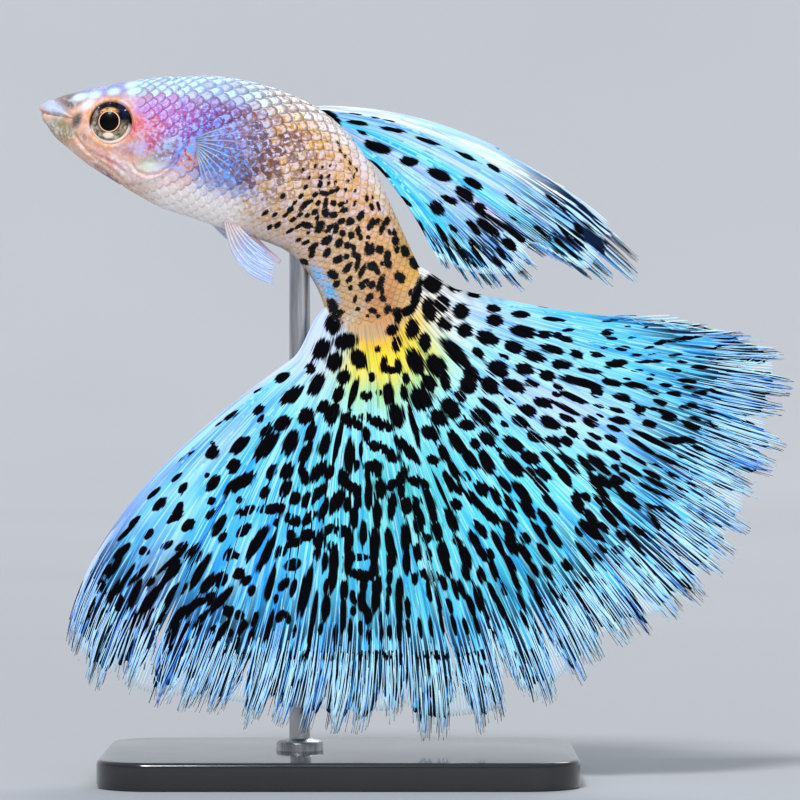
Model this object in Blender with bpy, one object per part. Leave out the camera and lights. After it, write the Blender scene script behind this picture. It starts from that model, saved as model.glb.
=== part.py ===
"""Fancy guppy, a life-size still model in a swimming pose on a plain display stand.

Blender works in metres and +Z is up. The fish looks along -X, its left side faces -Y, and the
origin is the middle of the underside of the stand's base. Sizes below are in millimetres.
"""

import math

import bmesh
import bpy
import numpy as np
from mathutils import Matrix, Vector

MM = 0.001
TAU = 2 * math.pi
GAP = 0.3

# Body: places along the spine from the snout to the tail, each with its x and z,
# the height of the back above the spine, the depth of the belly below it and the half width
STATIONS = np.array((
    (-21.53, 48.20, 0.18, 0.25, 0.50),
    (-21.12, 48.06, 0.65, 0.68, 0.86),
    (-20.16, 47.73, 1.51, 1.51, 1.30),
    (-18.94, 47.30, 2.30, 2.09, 1.84),
    (-17.42, 46.87, 3.06, 2.84, 2.30),
    (-15.84, 46.51, 3.71, 3.46, 2.66),
    (-14.04, 46.15, 4.25, 4.14, 2.95),
    (-11.88, 45.75, 4.79, 4.86, 3.13),
    (-9.22, 45.32, 5.18, 5.26, 3.17),
    (-6.34, 44.53, 5.33, 5.40, 3.02),
    (-3.60, 43.23, 5.22, 5.11, 2.70),
    (-1.30, 41.36, 4.57, 4.50, 2.23),
    (0.43, 38.98, 3.89, 3.82, 1.80),
    (1.73, 36.54, 3.67, 3.60, 1.44),
    (2.74, 34.38, 3.71, 3.82, 1.12),
    (3.38, 33.10, 3.78, 3.90, 0.62),
))
SWING_FROM = 18.0
SWING_TO = 30.0
SWING = 1.6
SWING_POWER = 1.8
HEAD_SQUARENESS = 0.84
TAIL_SQUARENESS = 1.12

# Where the body is parted: the rear edge of the gill cover (height from -1 at the belly to 1 at
# the back, and distance along the spine), the plane before the tail stalk, and the tail's end
GILL_EDGE = ((-1.0, 6.7), (-0.75, 8.5), (-0.4, 10.2), (0.1, 10.9), (0.6, 10.0), (1.0, 8.9))
STALK_FROM = 22.2
TAIL_END = 29.9
TAIL_BULGE = 1.0
HEAD_RINGS = 38
HEAD_SIDES = 54
TRUNK_RINGS = 20
TRUNK_SIDES = 40
STALK_RINGS = 12
STALK_SIDES = 32

# Head relief, on the side view's x and z: the mouth line, nostrils and the gill cover's folds
MOUTH_LINE = ((-21.90, 47.95), (-20.88, 47.73), (-20.02, 47.62), (-19.22, 47.37))
JAW_FOLD = ((-19.05, 46.20), (-18.30, 45.10), (-16.40, 43.65), (-15.60, 42.95))
CHEEK_FOLD = ((-14.70, 45.75), (-14.93, 44.25), (-14.70, 43.25))
NOSTRIL = (-19.44, 48.34)

# Height and half width of each form of the relief; the lips, the eye's rim and the gill cover's
# swelling lie at a distance from the mouth line, the eye's edge and the snout
LIP = (0.13, 0.26, 0.38)
LIP_LENGTH = 2.2
MOUTH_GROOVE = (-0.2, 0.19)
NOSTRIL_PIT = (-0.2, 0.22)
EYE_RIM = (0.1, 0.3, 0.45)
GILL_SWELLING = (0.12, 1.6, 9.3)
FOLD = (-0.12, 0.22)
RELIEF_END = 11.5

# End caps: the snout's point, and how far in front of the gill cover's edge the cut's middle lies
SNOUT_POINT = (-0.12, 0.02)
GILL_HOLLOW = 1.2
HEAD_CROWDING = 1.35

# Eyes: centre on the side view, distance from the midline, radius and half thickness
EYE_CENTRE = (-16.56, 47.19)
EYE_ASIDE = 1.84
EYE_RADIUS = 1.40
EYE_HALF_THICKNESS = 1.0
EYE_FORWARD_TURN = 13.0
EYE_UPWARD_TURN = 8.0

# Fins: half thickness on a ray, on the web between rays and at the tips, the shares of a ray that
# its root and its tapering tip take, and how far the web reaches along it
RAY_HALF = 0.40
WEB_HALF = 0.25
TIP_HALF = 0.13
ROOT_SHARE = 0.12
TIP_SHARE = 0.4
WEB_END = 0.95
SHEET_STEADINESS = 0.8

# Tail fin: angles are turned down from +X, lengths are from FAN_CENTRE
FAN_CENTRE = (2.30, 34.38)
FAN_TIP_ANGLES = (131.5, 2.5)
FAN_REACH = ((2.5, 22.0), (6.5, 28.9), (14, 30.6), (34, 32.2), (46, 32.0), (58, 30.8),
             (66, 32.2), (78, 32.2), (90, 31.0), (110, 32.2), (126, 34.7), (131.5, 33.4))
FAN_NOTCHES = ((26, 1.0, 1.5), (51, 0.8, 1.2), (70.5, 2.6, 1.5), (86, 0.8, 1.5),
               (104, 0.7, 1.2), (122.5, 1.5, 1.2))
FAN_START = ((0, 146), (0.5, 77), (1, 12))
FAN_FINISH = ((0, 98), (0.12, 112), (0.3, 102), (0.5, 74), (0.75, 36), (0.93, 6), (1, -8))
FAN_LEVELS = ((0.0, 0.3, 3), (0.3, 0.62, 4), (0.62, 1.0, 5))
FAN_RAYS = 20
FAN_ROOT_HALF = 0.42

# Tail fin out of the side view: it leans to the fish's left near its root, most on the rays that
# go the way the body does, and waves in pleats that deepen towards its edge
FAN_LEAN = 0.3
FAN_LEAN_LENGTH = 6.0
FAN_LEAN_ANGLE = 63
FAN_LEAN_POWER = 1.5
FAN_PLEATS = 2.6
FAN_PLEAT_DEPTH = 1.1
FAN_PLEAT_POWER = 1.6
FAN_PLEAT_PHASE = 0.6

# Dorsal fin: its foot along the back, and for some rays (share of the foot) the place that the
# ray bends towards and its tip, on the side view
DORSAL_FOOT = (17.6, 20.7)
DORSAL_BENDS = ((0, 9.8, 48.65), (0.3, 8.0, 45.3), (0.6, 6.2, 43.3), (0.8, 5.4, 42.7), (1, 4.75, 42.4))
DORSAL_TIPS = ((0, 20.9, 38.6), (0.2, 19.9, 35.9), (0.36, 18.3, 35.5), (0.45, 15.0, 37.4),
               (0.58, 14.2, 35.4), (0.75, 11.3, 35.1), (0.9, 9.2, 35.6), (1, 7.3, 36.4))
DORSAL_LEVELS = ((0.0, 0.4, 3), (0.4, 1.0, 5))
DORSAL_RAYS = 13
DORSAL_LEAN = (1.4, 3.7)
DORSAL_WAVES = 1.5
DORSAL_WAVE_DEPTH = 0.5

# Pectoral fins: foot on the flank (along the spine, height above it), ray angles and lengths
PECTORAL_FOOT = ((11.55, 0.40), (11.75, -0.65))
PECTORAL_ANGLES = (28, -62)
PECTORAL_LENGTHS = ((0, 4.7), (0.3, 5.0), (0.7, 4.2), (1, 3.2))
PECTORAL_RAYS = 7
PECTORAL_ROWS = 4
PECTORAL_RISE = 0.65
PECTORAL_SPLAY = 0.26

# Pelvic fins: foot along the belly and round from its midline, and tips on the side view
PELVIC_FOOT_LEFT = (15.1, 16.5)
PELVIC_FOOT_RIGHT = (12.9, 14.3)
PELVIC_TURN = 0.42
PELVIC_TIPS_LEFT = ((0, -4.54, 35.31), (0.3, -4.55, 36.0), (0.6, -4.45, 36.7), (1, -5.3, 37.8))
PELVIC_TIPS_RIGHT = ((0, -6.4, 37.5), (0.5, -5.9, 37.9), (1, -5.9, 38.4))
PELVIC_BOW_LEFT = 0.8
PELVIC_BOW_RIGHT = 0.15
PELVIC_SPLAY = 1.1
PELVIC_RAYS = 6
PELVIC_ROWS = 5
PELVIC_WEB_END = 0.82

# Gonopodium: the slender rod that the male's anal fin forms
GONOPODIUM_FOOT = 17.4
GONOPODIUM_MIDDLE = (-5.6, 38.1)
GONOPODIUM_TIP = (-4.3, 37.1)
GONOPODIUM_RADII = (0.32, 0.27, 0.15)
GONOPODIUM_SIDES = 10
GONOPODIUM_ROWS = 6

# Display stand: a flat base and one rod up to the tail stalk
BASE_SIZE = (34.0, 24.0, 2.0)
BASE_CORNER = 4.0
BASE_EDGE = 0.3
ROD_X = -2.9
ROD_RADIUS = 0.75
ROD_SIDES = 24

COLOURS = {
    "head": (0.62, 0.42, 0.38),
    "trunk": (0.42, 0.36, 0.62),
    "tail_stalk": (0.72, 0.42, 0.14),
    "eye": (0.03, 0.03, 0.06),
    "tail_fin": (0.30, 0.66, 0.86),
    "dorsal_fin": (0.34, 0.72, 0.90),
    "paired_fin": (0.62, 0.66, 0.84),
    "gonopodium": (0.60, 0.55, 0.42),
    "stand": (0.10, 0.10, 0.11),
    "stand_rod": (0.62, 0.62, 0.63),
}
METALS = ("stand_rod",)


def through(knots, at):
    """Smooth curve through knots ((t, value, ...), ...), read at the places in at."""
    table = np.array(knots, float)
    t = table[:, 0]
    value = table[:, 1:]
    slope = np.gradient(value, t, axis=0)
    at = np.clip(np.asarray(at, float), t[0], t[-1])
    i = np.clip(np.searchsorted(t, at, side="right") - 1, 0, len(t) - 2)
    span = (t[i + 1] - t[i])[..., None]
    x = (at[..., None] - t[i][..., None]) / span
    result = ((1 + 2 * x) * (1 - x) ** 2 * value[i] + x * (1 - x) ** 2 * span * slope[i]
              + x * x * (3 - 2 * x) * value[i + 1] + x * x * (x - 1) * span * slope[i + 1])
    return result[..., 0] if result.shape[-1] == 1 else result


STEPS = np.hypot(np.diff(STATIONS[:, 0]), np.diff(STATIONS[:, 1]))
ALONG = np.concatenate(((0.0,), np.cumsum(STEPS)))
BODY = np.column_stack((ALONG, STATIONS))


def spine(s):
    """Place of the spine at distance s, with the tail swung to the fish's left."""
    row = through(BODY, s)
    share = np.clip((s - SWING_FROM) / (SWING_TO - SWING_FROM), 0, None)
    aside = -SWING * share ** SWING_POWER
    return np.stack((row[..., 0], aside, row[..., 1]), axis=-1)


def unit(vectors):
    return vectors / np.linalg.norm(vectors, axis=-1, keepdims=True)


def spine_frame(s):
    """Directions along the spine, up to the back, and out to the fish's left."""
    step = 0.05
    ahead = unit(spine(s + step) - spine(s - step))
    up = unit(np.stack((-ahead[..., 2], np.zeros_like(s), ahead[..., 0]), axis=-1))
    return ahead, up, np.cross(ahead, up)


def distance_to_line(x, z, line):
    """Distance on the side view from each x, z to a line of points."""
    best = np.full(np.shape(x), 1e9)
    for (x0, z0), (x1, z1) in zip(line[:-1], line[1:]):
        share = ((x - x0) * (x1 - x0) + (z - z0) * (z1 - z0)) / ((x1 - x0) ** 2 + (z1 - z0) ** 2)
        share = np.clip(share, 0, 1)
        best = np.minimum(best, np.hypot(x - x0 - share * (x1 - x0), z - z0 - share * (z1 - z0)))
    return best


def bell(distance, width):
    return np.exp(-(distance / width) ** 2)


def form(distance, shape):
    """A rise or groove of the relief: shape is its height, half width and, if any, its distance."""
    height, width, place = (*shape, 0.0)[:3]
    return height * bell(distance - place, width)


def head_relief(x, z, s):
    """How far the head's skin stands out or in: lips, mouth line, nostrils and cheek folds."""
    mouth = distance_to_line(x, z, MOUTH_LINE)
    folds = np.minimum(distance_to_line(x, z, JAW_FOLD), distance_to_line(x, z, CHEEK_FOLD))
    nostril = np.hypot(x - NOSTRIL[0], z - NOSTRIL[1])
    eye_edge = np.hypot(x - EYE_CENTRE[0], z - EYE_CENTRE[1]) - EYE_RADIUS
    lips = form(mouth, LIP) * bell(x - MOUTH_LINE[0][0], LIP_LENGTH)
    return (lips + form(mouth, MOUTH_GROOVE) + form(nostril, NOSTRIL_PIT) + form(eye_edge, EYE_RIM)
            + form(s, GILL_SWELLING) + form(folds, FOLD))


def skin(s, phi, proud=0.0):
    """Point of the body's surface: phi is 0 on the back, a quarter turn on the fish's left."""
    s = np.asarray(s, float) + 0 * phi
    row = through(BODY, s)
    centre = spine(s)
    ahead, up, left = spine_frame(s)
    share = np.clip(s / ALONG[-1], 0, 1)
    power = HEAD_SQUARENESS + (TAIL_SQUARENESS - HEAD_SQUARENESS) * share
    high = np.where(np.cos(phi) > 0, row[..., 2], row[..., 3]) * np.cos(phi)
    wide = row[..., 4] * np.sign(np.sin(phi)) * np.abs(np.sin(phi)) ** power
    point = centre + up * high[..., None] + left * wide[..., None]
    out = unit(up * (np.cos(phi) * row[..., 4])[..., None] + left * (np.sin(phi) * row[..., 2])[..., None]
               + up * 1e-9)
    relief = np.where(s < RELIEF_END, head_relief(point[..., 0], point[..., 2], s), 0.0)
    return point + out * (relief + proud)[..., None]


def new_object(name, points, faces, colour):
    """Object from points in millimetres, with its own material."""
    mesh = bpy.data.meshes.new(name)
    mesh.from_pydata([tuple(p) for p in np.asarray(points) * MM], [], faces)
    mesh.update()
    piece = bpy.data.objects.new(name, mesh)
    bpy.context.scene.collection.objects.link(piece)
    finish_object(piece, colour)
    return piece


def finish_object(piece, colour, roughness=0.4):
    material = bpy.data.materials.new(piece.name)
    material.use_nodes = True
    shader = material.node_tree.nodes["Principled BSDF"]
    shader.inputs["Base Color"].default_value = (*COLOURS[colour], 1)
    shader.inputs["Roughness"].default_value = roughness
    shader.inputs["Metallic"].default_value = 1.0 if colour in METALS else 0.0
    piece.data.materials.append(material)
    piece.data.shade_smooth()
    piece.data.set_sharp_from_angle(angle=math.radians(40))


def flesh(name, front, rear, rings, sides, front_cap, rear_cap, crowding=1.0):
    """One length of the body, between the cut lines front(phi) and rear(phi) along the spine."""
    phi = np.arange(sides) * TAU / sides
    rows = []
    for share in np.linspace(0, 1, rings + 1) ** crowding:
        rows.append(skin(front(phi) * (1 - share) + rear(phi) * share, phi))
    points = np.concatenate(rows + [front_cap[None], rear_cap[None]])
    first = len(points) - 2
    last = len(points) - 1
    faces = []
    for i in range(rings):
        for j in range(sides):
            k = (j + 1) % sides
            faces.append((i * sides + j, i * sides + k, (i + 1) * sides + k, (i + 1) * sides + j))
    for j in range(sides):
        k = (j + 1) % sides
        faces.append((first, k, j))
        faces.append((last, rings * sides + j, rings * sides + k))
    return new_object(name, points, faces, name)


def gill_cut(phi):
    return through(GILL_EDGE, np.cos(phi))


def tail_cut(phi):
    return TAIL_END + TAIL_BULGE * np.sin(phi) ** 2


def fin_sheet(point, u, v, step=0.004):
    """Points of a fin's middle surface and the directions out of it.

    The directions are drawn towards Y, so that they don't twist where the rays are crowded.
    """
    middle = point(u, v)
    across = point(np.clip(u + step, 0, 1), v) - point(np.clip(u - step, 0, 1), v)
    along = point(u, np.clip(v + step, 0, 1)) - point(u, np.clip(v - step, 0, 1))
    out = np.cross(unit(along), unit(across))
    aside = np.array((0.0, np.sign(out[..., 1].sum()), 0.0))
    return middle, unit(out + aside * SHEET_STEADINESS)


def fin(name, point, rays, levels, colour, root_half=WEB_HALF, web_end=WEB_END):
    """Closed fin with rays as ridges: each level has twice the rays of the one before it.

    point(u, v) is the middle surface, u across the rays and v along them. Both faces share one
    triangulation, and the web between two rays ends before their tips.
    """
    rows = []
    for number, (start, end, steps) in enumerate(levels):
        columns = 2 * rays * 2 ** number
        begin = 0 if number == 0 else 1
        for i in range(begin, steps + 1):
            rows.append((columns, start + (end - start) * i / steps))
    middles = []
    for number, (columns, v) in enumerate(rows):
        column = np.arange(columns + 1)
        on_ray = column % 2 == 1
        u = column / columns
        last = number == len(rows) - 1
        reach = np.where(on_ray | (not last), v, v * web_end)
        place, out = fin_sheet(point, u, reach)
        half = np.where(on_ray, RAY_HALF, WEB_HALF)
        root_share = np.clip(1 - v / ROOT_SHARE, 0, 1)
        half = half + (root_half - WEB_HALF) * root_share
        tip_share = np.clip(1 - (1 - v) / TIP_SHARE, 0, 1)
        half = half * (1 - tip_share) + TIP_HALF * tip_share
        middles.append((place, out * half[:, None]))
    starts = np.cumsum([0] + [len(place) for place, _ in middles])
    count = starts[-1]
    left = np.concatenate([place + out for place, out in middles])
    right = np.concatenate([place - out for place, out in middles])
    triangles = []
    for i in range(len(rows) - 1):
        near = rows[i][0]
        a = starts[i]
        b = starts[i + 1]
        for j in range(near):
            if rows[i + 1][0] == near:
                triangles.append((a + j, b + j, b + j + 1))
                triangles.append((a + j, b + j + 1, a + j + 1))
            else:
                triangles.append((a + j, b + 2 * j, b + 2 * j + 1))
                triangles.append((a + j, b + 2 * j + 1, a + j + 1))
                triangles.append((a + j + 1, b + 2 * j + 1, b + 2 * j + 2))
    faces = list(triangles)
    faces += [(k + count, j + count, i + count) for i, j, k in triangles]
    rim = [int(starts[i]) for i in range(len(rows))]
    rim += [int(starts[-2]) + j for j in range(1, rows[-1][0] + 1)]
    rim += [int(starts[i + 1]) - 1 for i in range(len(rows) - 2, -1, -1)]
    rim += [j for j in range(rows[0][0] - 1, 0, -1)]
    for i, j in zip(rim, rim[1:] + rim[:1]):
        faces.append((i, i + count, j + count))
        faces.append((i, j + count, j))
    piece = new_object(name, np.concatenate((left, right)), faces, colour)
    turn_faces_out(piece)
    return piece


def turn_faces_out(piece):
    """Turn all faces over if the mesh encloses a negative volume."""
    bm = bmesh.new()
    bm.from_mesh(piece.data)
    if bm.calc_volume(signed=True) < 0:
        bmesh.ops.reverse_faces(bm, faces=bm.faces[:])
    bm.to_mesh(piece.data)
    bm.free()


def curved_ray(root, start, finish, tip, v):
    """Smooth ray from root to tip with its first and last directions as unit vectors."""
    length = np.linalg.norm(tip - root, axis=-1, keepdims=True)
    v = np.asarray(v)[..., None]
    return ((1 + 2 * v) * (1 - v) ** 2 * root + v * (1 - v) ** 2 * length * start
            + v * v * (3 - 2 * v) * tip + v * v * (v - 1) * length * finish)


def down_from_x(degrees):
    """Direction on the side view, turned down from +X."""
    angle = np.radians(degrees)
    return np.stack((np.cos(angle), -np.sin(angle)), axis=-1)


def fan_reach(angle):
    """Distance of the tail fin's edge from its centre, with the notches between its lobes."""
    reach = through(FAN_REACH, angle)
    for place, depth, width in FAN_NOTCHES:
        reach = reach - depth * bell(angle - place, width)
    return reach


def tail_fin_point(u, v):
    """Middle surface of the tail fin: u is 0 on its lower left ray and 1 on its upper ray."""
    phi = np.arccos(np.clip(2 * u - 1, -1, 1))
    s = tail_cut(phi) + GAP
    centre = spine(s)
    ahead, up, left = spine_frame(s)
    row = through(BODY, s)
    high = np.where(u > 0.5, row[..., 2], row[..., 3]) * (2 * u - 1)
    root = centre + up * high[..., None]
    angle = FAN_TIP_ANGLES[0] + (FAN_TIP_ANGLES[1] - FAN_TIP_ANGLES[0]) * u
    tip = np.array(FAN_CENTRE) + down_from_x(angle) * fan_reach(angle)[..., None]
    start = down_from_x(through(FAN_START, u))
    finish = down_from_x(through(FAN_FINISH, u))
    side = curved_ray(root[..., (0, 2)], start, finish, tip, v)
    out = v * np.linalg.norm(tip - root[..., (0, 2)], axis=-1)
    facing = np.cos(np.radians(through(FAN_START, u) - FAN_LEAN_ANGLE))
    facing = np.clip(facing, 0, 1) ** FAN_LEAN_POWER
    lean = FAN_LEAN * FAN_LEAN_LENGTH * (1 - np.exp(-out / FAN_LEAN_LENGTH)) * facing
    pleat = FAN_PLEAT_DEPTH * v ** FAN_PLEAT_POWER * np.sin(TAU * FAN_PLEATS * u + FAN_PLEAT_PHASE)
    aside = root[..., 1] - lean + pleat
    return np.stack((side[..., 0], aside, side[..., 1]), axis=-1)


def dorsal_fin_point(u, v):
    """Middle surface of the dorsal fin: u is 0 on its front ray and 1 on its rear ray."""
    s = DORSAL_FOOT[0] + (DORSAL_FOOT[1] - DORSAL_FOOT[0]) * u
    root = skin(s, 0 * u, proud=GAP)
    bend = through(DORSAL_BENDS, u)
    tip = through(DORSAL_TIPS, u)
    w = np.asarray(v)[..., None]
    side = (1 - w) ** 2 * root[..., (0, 2)] + 2 * w * (1 - w) * bend + w * w * tip
    lean = (DORSAL_LEAN[0] + (DORSAL_LEAN[1] - DORSAL_LEAN[0]) * u ** 0.5) * v ** 1.1
    wave = DORSAL_WAVE_DEPTH * v ** 2 * np.sin(TAU * DORSAL_WAVES * u + 1.0) * (1 - u)
    return np.stack((side[..., 0], root[..., 1] - lean + wave, side[..., 1]), axis=-1)


def pectoral_fin_point(side):
    """Middle surface of one pectoral fin, on the flank: side is 1 for the left, -1 for the right."""
    def point(u, v):
        (s0, h0), (s1, h1) = PECTORAL_FOOT
        angle = np.radians(PECTORAL_ANGLES[0] + (PECTORAL_ANGLES[1] - PECTORAL_ANGLES[0]) * u)
        out = through(PECTORAL_LENGTHS, u) * v
        s = s0 + (s1 - s0) * u + out * np.cos(angle)
        high = h0 + (h1 - h0) * u + out * np.sin(angle)
        row = through(BODY, s)
        phi = np.arccos(np.clip(high / np.where(high > 0, row[..., 2], row[..., 3]), -1, 1))
        rise = PECTORAL_RISE * (1 - np.exp(-out / PECTORAL_RISE))
        return skin(s, side * phi, proud=GAP + TIP_HALF + rise + PECTORAL_SPLAY * out)
    return point


def pelvic_fin_point(side, foot, tips, bow_depth):
    """Middle surface of one pelvic fin, below the belly beside its midline."""
    def point(u, v):
        s = foot[0] + (foot[1] - foot[0]) * u
        root = skin(s, math.pi - side * PELVIC_TURN + 0 * u, proud=GAP)
        tip = through(tips, u)
        w = np.asarray(v)[..., None]
        flat = root[..., (0, 2)] + (tip - root[..., (0, 2)]) * w
        bow = bow_depth * np.sin(math.pi * v) * (1 - u)
        aside = root[..., 1] - side * PELVIC_SPLAY * v
        return np.stack((flat[..., 0] - bow, aside, flat[..., 1] - bow), axis=-1)
    return point


def build_body():
    front = through(BODY, 0.0)
    snout = np.array((front[0] + SNOUT_POINT[0], 0.0, front[1] + SNOUT_POINT[1]))
    hollow = gill_cut(np.array((math.pi / 2,)))[0] - GILL_HOLLOW
    flesh("head", lambda phi: 0 * phi, lambda phi: gill_cut(phi) - GAP / 2,
          HEAD_RINGS, HEAD_SIDES, snout, spine(np.array(hollow - GAP / 2)), HEAD_CROWDING)
    flesh("trunk", lambda phi: gill_cut(phi) + GAP / 2, lambda phi: 0 * phi + STALK_FROM - GAP / 2,
          TRUNK_RINGS, TRUNK_SIDES, spine(np.array(hollow + GAP / 2)),
          spine(np.array(STALK_FROM - GAP / 2)))
    flesh("tail_stalk", lambda phi: 0 * phi + STALK_FROM + GAP / 2, tail_cut,
          STALK_RINGS, STALK_SIDES, spine(np.array(STALK_FROM + GAP / 2)),
          spine(np.array(TAIL_END + TAIL_BULGE)))


def eye_placement(side):
    """Where an eye sits and how it faces: side is 1 for the left, -1 for the right."""
    turn = Matrix.Rotation(math.radians(-side * EYE_FORWARD_TURN), 4, "Z")
    lift = Matrix.Rotation(math.radians(-side * EYE_UPWARD_TURN), 4, "X")
    centre = Vector((EYE_CENTRE[0], -side * EYE_ASIDE, EYE_CENTRE[1])) * MM
    return Matrix.Translation(centre) @ turn @ lift


def eyeball(name, side, grow=0.0, rings=14, segments=24):
    """Flattened ball whose short axis points out of the head."""
    mesh = bpy.data.meshes.new(name)
    bm = bmesh.new()
    bmesh.ops.create_uvsphere(bm, u_segments=segments, v_segments=rings, radius=1.0)
    radius = (EYE_RADIUS + grow) * MM
    depth = (EYE_HALF_THICKNESS + grow) * MM
    bmesh.ops.rotate(bm, verts=bm.verts, matrix=Matrix.Rotation(math.pi / 2, 3, "X"))
    bmesh.ops.scale(bm, verts=bm.verts, vec=(radius, depth, radius))
    bmesh.ops.transform(bm, verts=bm.verts, matrix=eye_placement(side))
    bm.to_mesh(mesh)
    bm.free()
    piece = bpy.data.objects.new(name, mesh)
    bpy.context.scene.collection.objects.link(piece)
    return piece


def cut(piece, cutter):
    """Take the cutter's shape out of the piece."""
    boolean = piece.modifiers.new("cut_" + cutter.name, "BOOLEAN")
    boolean.operation = "DIFFERENCE"
    boolean.object = cutter
    boolean.solver = "EXACT"
    cutter.hide_render = True
    cutter.display_type = "WIRE"


def build_eyes():
    head = bpy.data.objects["head"]
    for name, side in (("l", 1), ("r", -1)):
        finish_object(eyeball("eye_" + name, side), "eye", 0.1)
        cut(head, eyeball("socket_" + name, side, GAP))


def build_fins():
    fin("tail_fin", tail_fin_point, FAN_RAYS, FAN_LEVELS, "tail_fin", FAN_ROOT_HALF)
    fin("dorsal_fin", dorsal_fin_point, DORSAL_RAYS, DORSAL_LEVELS, "dorsal_fin")
    pectoral_levels = ((0.0, 1.0, PECTORAL_ROWS),)
    fin("pectoral_fin_l", pectoral_fin_point(1), PECTORAL_RAYS, pectoral_levels, "paired_fin")
    fin("pectoral_fin_r", pectoral_fin_point(-1), PECTORAL_RAYS, pectoral_levels, "paired_fin")
    pelvic_levels = ((0.0, 1.0, PELVIC_ROWS),)
    left = pelvic_fin_point(1, PELVIC_FOOT_LEFT, PELVIC_TIPS_LEFT, PELVIC_BOW_LEFT)
    right = pelvic_fin_point(-1, PELVIC_FOOT_RIGHT, PELVIC_TIPS_RIGHT, PELVIC_BOW_RIGHT)
    fin("pelvic_fin_l", left, PELVIC_RAYS, pelvic_levels, "paired_fin", web_end=PELVIC_WEB_END)
    fin("pelvic_fin_r", right, PELVIC_RAYS, pelvic_levels, "paired_fin", web_end=PELVIC_WEB_END)


def build_gonopodium():
    rows = GONOPODIUM_ROWS
    share = np.linspace(0, 1, rows)
    foot = skin(np.array(GONOPODIUM_FOOT), np.array(math.pi), proud=GAP)
    bends = ((foot[0], foot[2]), GONOPODIUM_MIDDLE, GONOPODIUM_TIP)
    route = through([(i / 2, *p) for i, p in enumerate(bends)], share)
    radii = through([(i / 2, r) for i, r in enumerate(GONOPODIUM_RADII)], share)
    along = unit(np.gradient(route, axis=0))
    turn = np.arange(GONOPODIUM_SIDES) * TAU / GONOPODIUM_SIDES
    points = []
    for place, direction, radius in zip(route, along, radii):
        for angle in turn:
            lift = radius * math.cos(angle)
            points.append((place[0] - direction[1] * lift, radius * math.sin(angle),
                           place[1] + direction[0] * lift))
    sides = GONOPODIUM_SIDES
    faces = [tuple(range(sides - 1, -1, -1)), tuple(range((rows - 1) * sides, rows * sides))]
    for i in range(rows - 1):
        for j in range(sides):
            k = (j + 1) % sides
            faces.append((i * sides + j, i * sides + k, (i + 1) * sides + k, (i + 1) * sides + j))
    turn_faces_out(new_object("gonopodium", points, faces, "gonopodium"))


def build_stand():
    length, width, height = BASE_SIZE
    bm = bmesh.new()
    bmesh.ops.create_cube(bm, size=1.0)
    bmesh.ops.scale(bm, verts=bm.verts, vec=(length * MM, width * MM, height * MM))
    bmesh.ops.translate(bm, verts=bm.verts, vec=(0, 0, height * MM / 2))
    uprights = [e for e in bm.edges if abs(e.verts[0].co.z - e.verts[1].co.z) > height * MM / 2]
    bmesh.ops.bevel(bm, geom=uprights, offset=BASE_CORNER * MM, segments=6, affect="EDGES", profile=0.5)
    rims = [e for e in bm.edges if min(v.co.z for v in e.verts) > (height - 0.001) * MM]
    bmesh.ops.bevel(bm, geom=rims, offset=BASE_EDGE * MM, segments=2, affect="EDGES", profile=0.5)
    mesh = bpy.data.meshes.new("stand_base")
    bm.to_mesh(mesh)
    bm.free()
    base = bpy.data.objects.new("stand_base", mesh)
    bpy.context.scene.collection.objects.link(base)
    finish_object(base, "stand", 0.3)

    build_rod(height + GAP)


def build_rod(foot):
    """Upright rod whose top follows the underside of the tail stalk."""
    stalk = bpy.data.objects["tail_stalk"]
    ring = [(0.0, 0.0)]
    for i in range(ROD_SIDES):
        angle = TAU * i / ROD_SIDES
        ring.append((ROD_RADIUS * math.cos(angle), ROD_RADIUS * math.sin(angle)))
    low = [(ROD_X + x, y, foot) for x, y in ring]
    high = []
    for x, y, _ in low:
        struck, place, normal, _ = stalk.ray_cast(Vector((x, y, foot)) * MM, Vector((0, 0, 1)))
        high.append((x, y, place.z / MM - GAP / abs(normal.z)))
    top = len(low)
    faces = []
    for i in range(1, ROD_SIDES + 1):
        j = i % ROD_SIDES + 1
        faces += [(0, j, i), (i, j, top + j, top + i), (top, top + i, top + j)]
    new_object("stand_rod", low + high, faces, "stand_rod")


def main():
    for piece in list(bpy.data.objects):
        bpy.data.objects.remove(piece, do_unlink=True)
    build_body()
    build_eyes()
    build_fins()
    build_gonopodium()
    build_stand()


main()
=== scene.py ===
"""Looks of the fancy guppy: one scaled skin, glassy eyes, spotted fins of fine rays, and the stand.

Sizes are in millimetres and become metres when a mesh is made. The fish looks along -X and its
left side faces -Y, towards the camera.
"""

import math

import bpy
import numpy as np
from mathutils import Matrix, Vector


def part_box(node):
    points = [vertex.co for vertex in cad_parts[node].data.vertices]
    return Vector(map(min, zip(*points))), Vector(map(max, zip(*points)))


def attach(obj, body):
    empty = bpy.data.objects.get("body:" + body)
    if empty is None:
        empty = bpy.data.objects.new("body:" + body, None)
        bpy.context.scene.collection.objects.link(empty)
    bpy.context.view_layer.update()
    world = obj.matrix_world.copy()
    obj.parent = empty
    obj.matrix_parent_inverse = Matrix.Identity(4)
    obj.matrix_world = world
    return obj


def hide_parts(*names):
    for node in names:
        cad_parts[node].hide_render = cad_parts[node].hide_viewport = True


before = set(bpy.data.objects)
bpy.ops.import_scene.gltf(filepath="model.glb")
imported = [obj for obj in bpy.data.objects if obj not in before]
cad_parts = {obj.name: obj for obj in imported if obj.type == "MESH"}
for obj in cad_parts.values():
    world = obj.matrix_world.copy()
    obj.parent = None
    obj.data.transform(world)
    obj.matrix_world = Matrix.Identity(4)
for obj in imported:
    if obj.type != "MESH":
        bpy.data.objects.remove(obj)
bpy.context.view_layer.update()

MM = 0.001
TAU = 2 * math.pi

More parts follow.
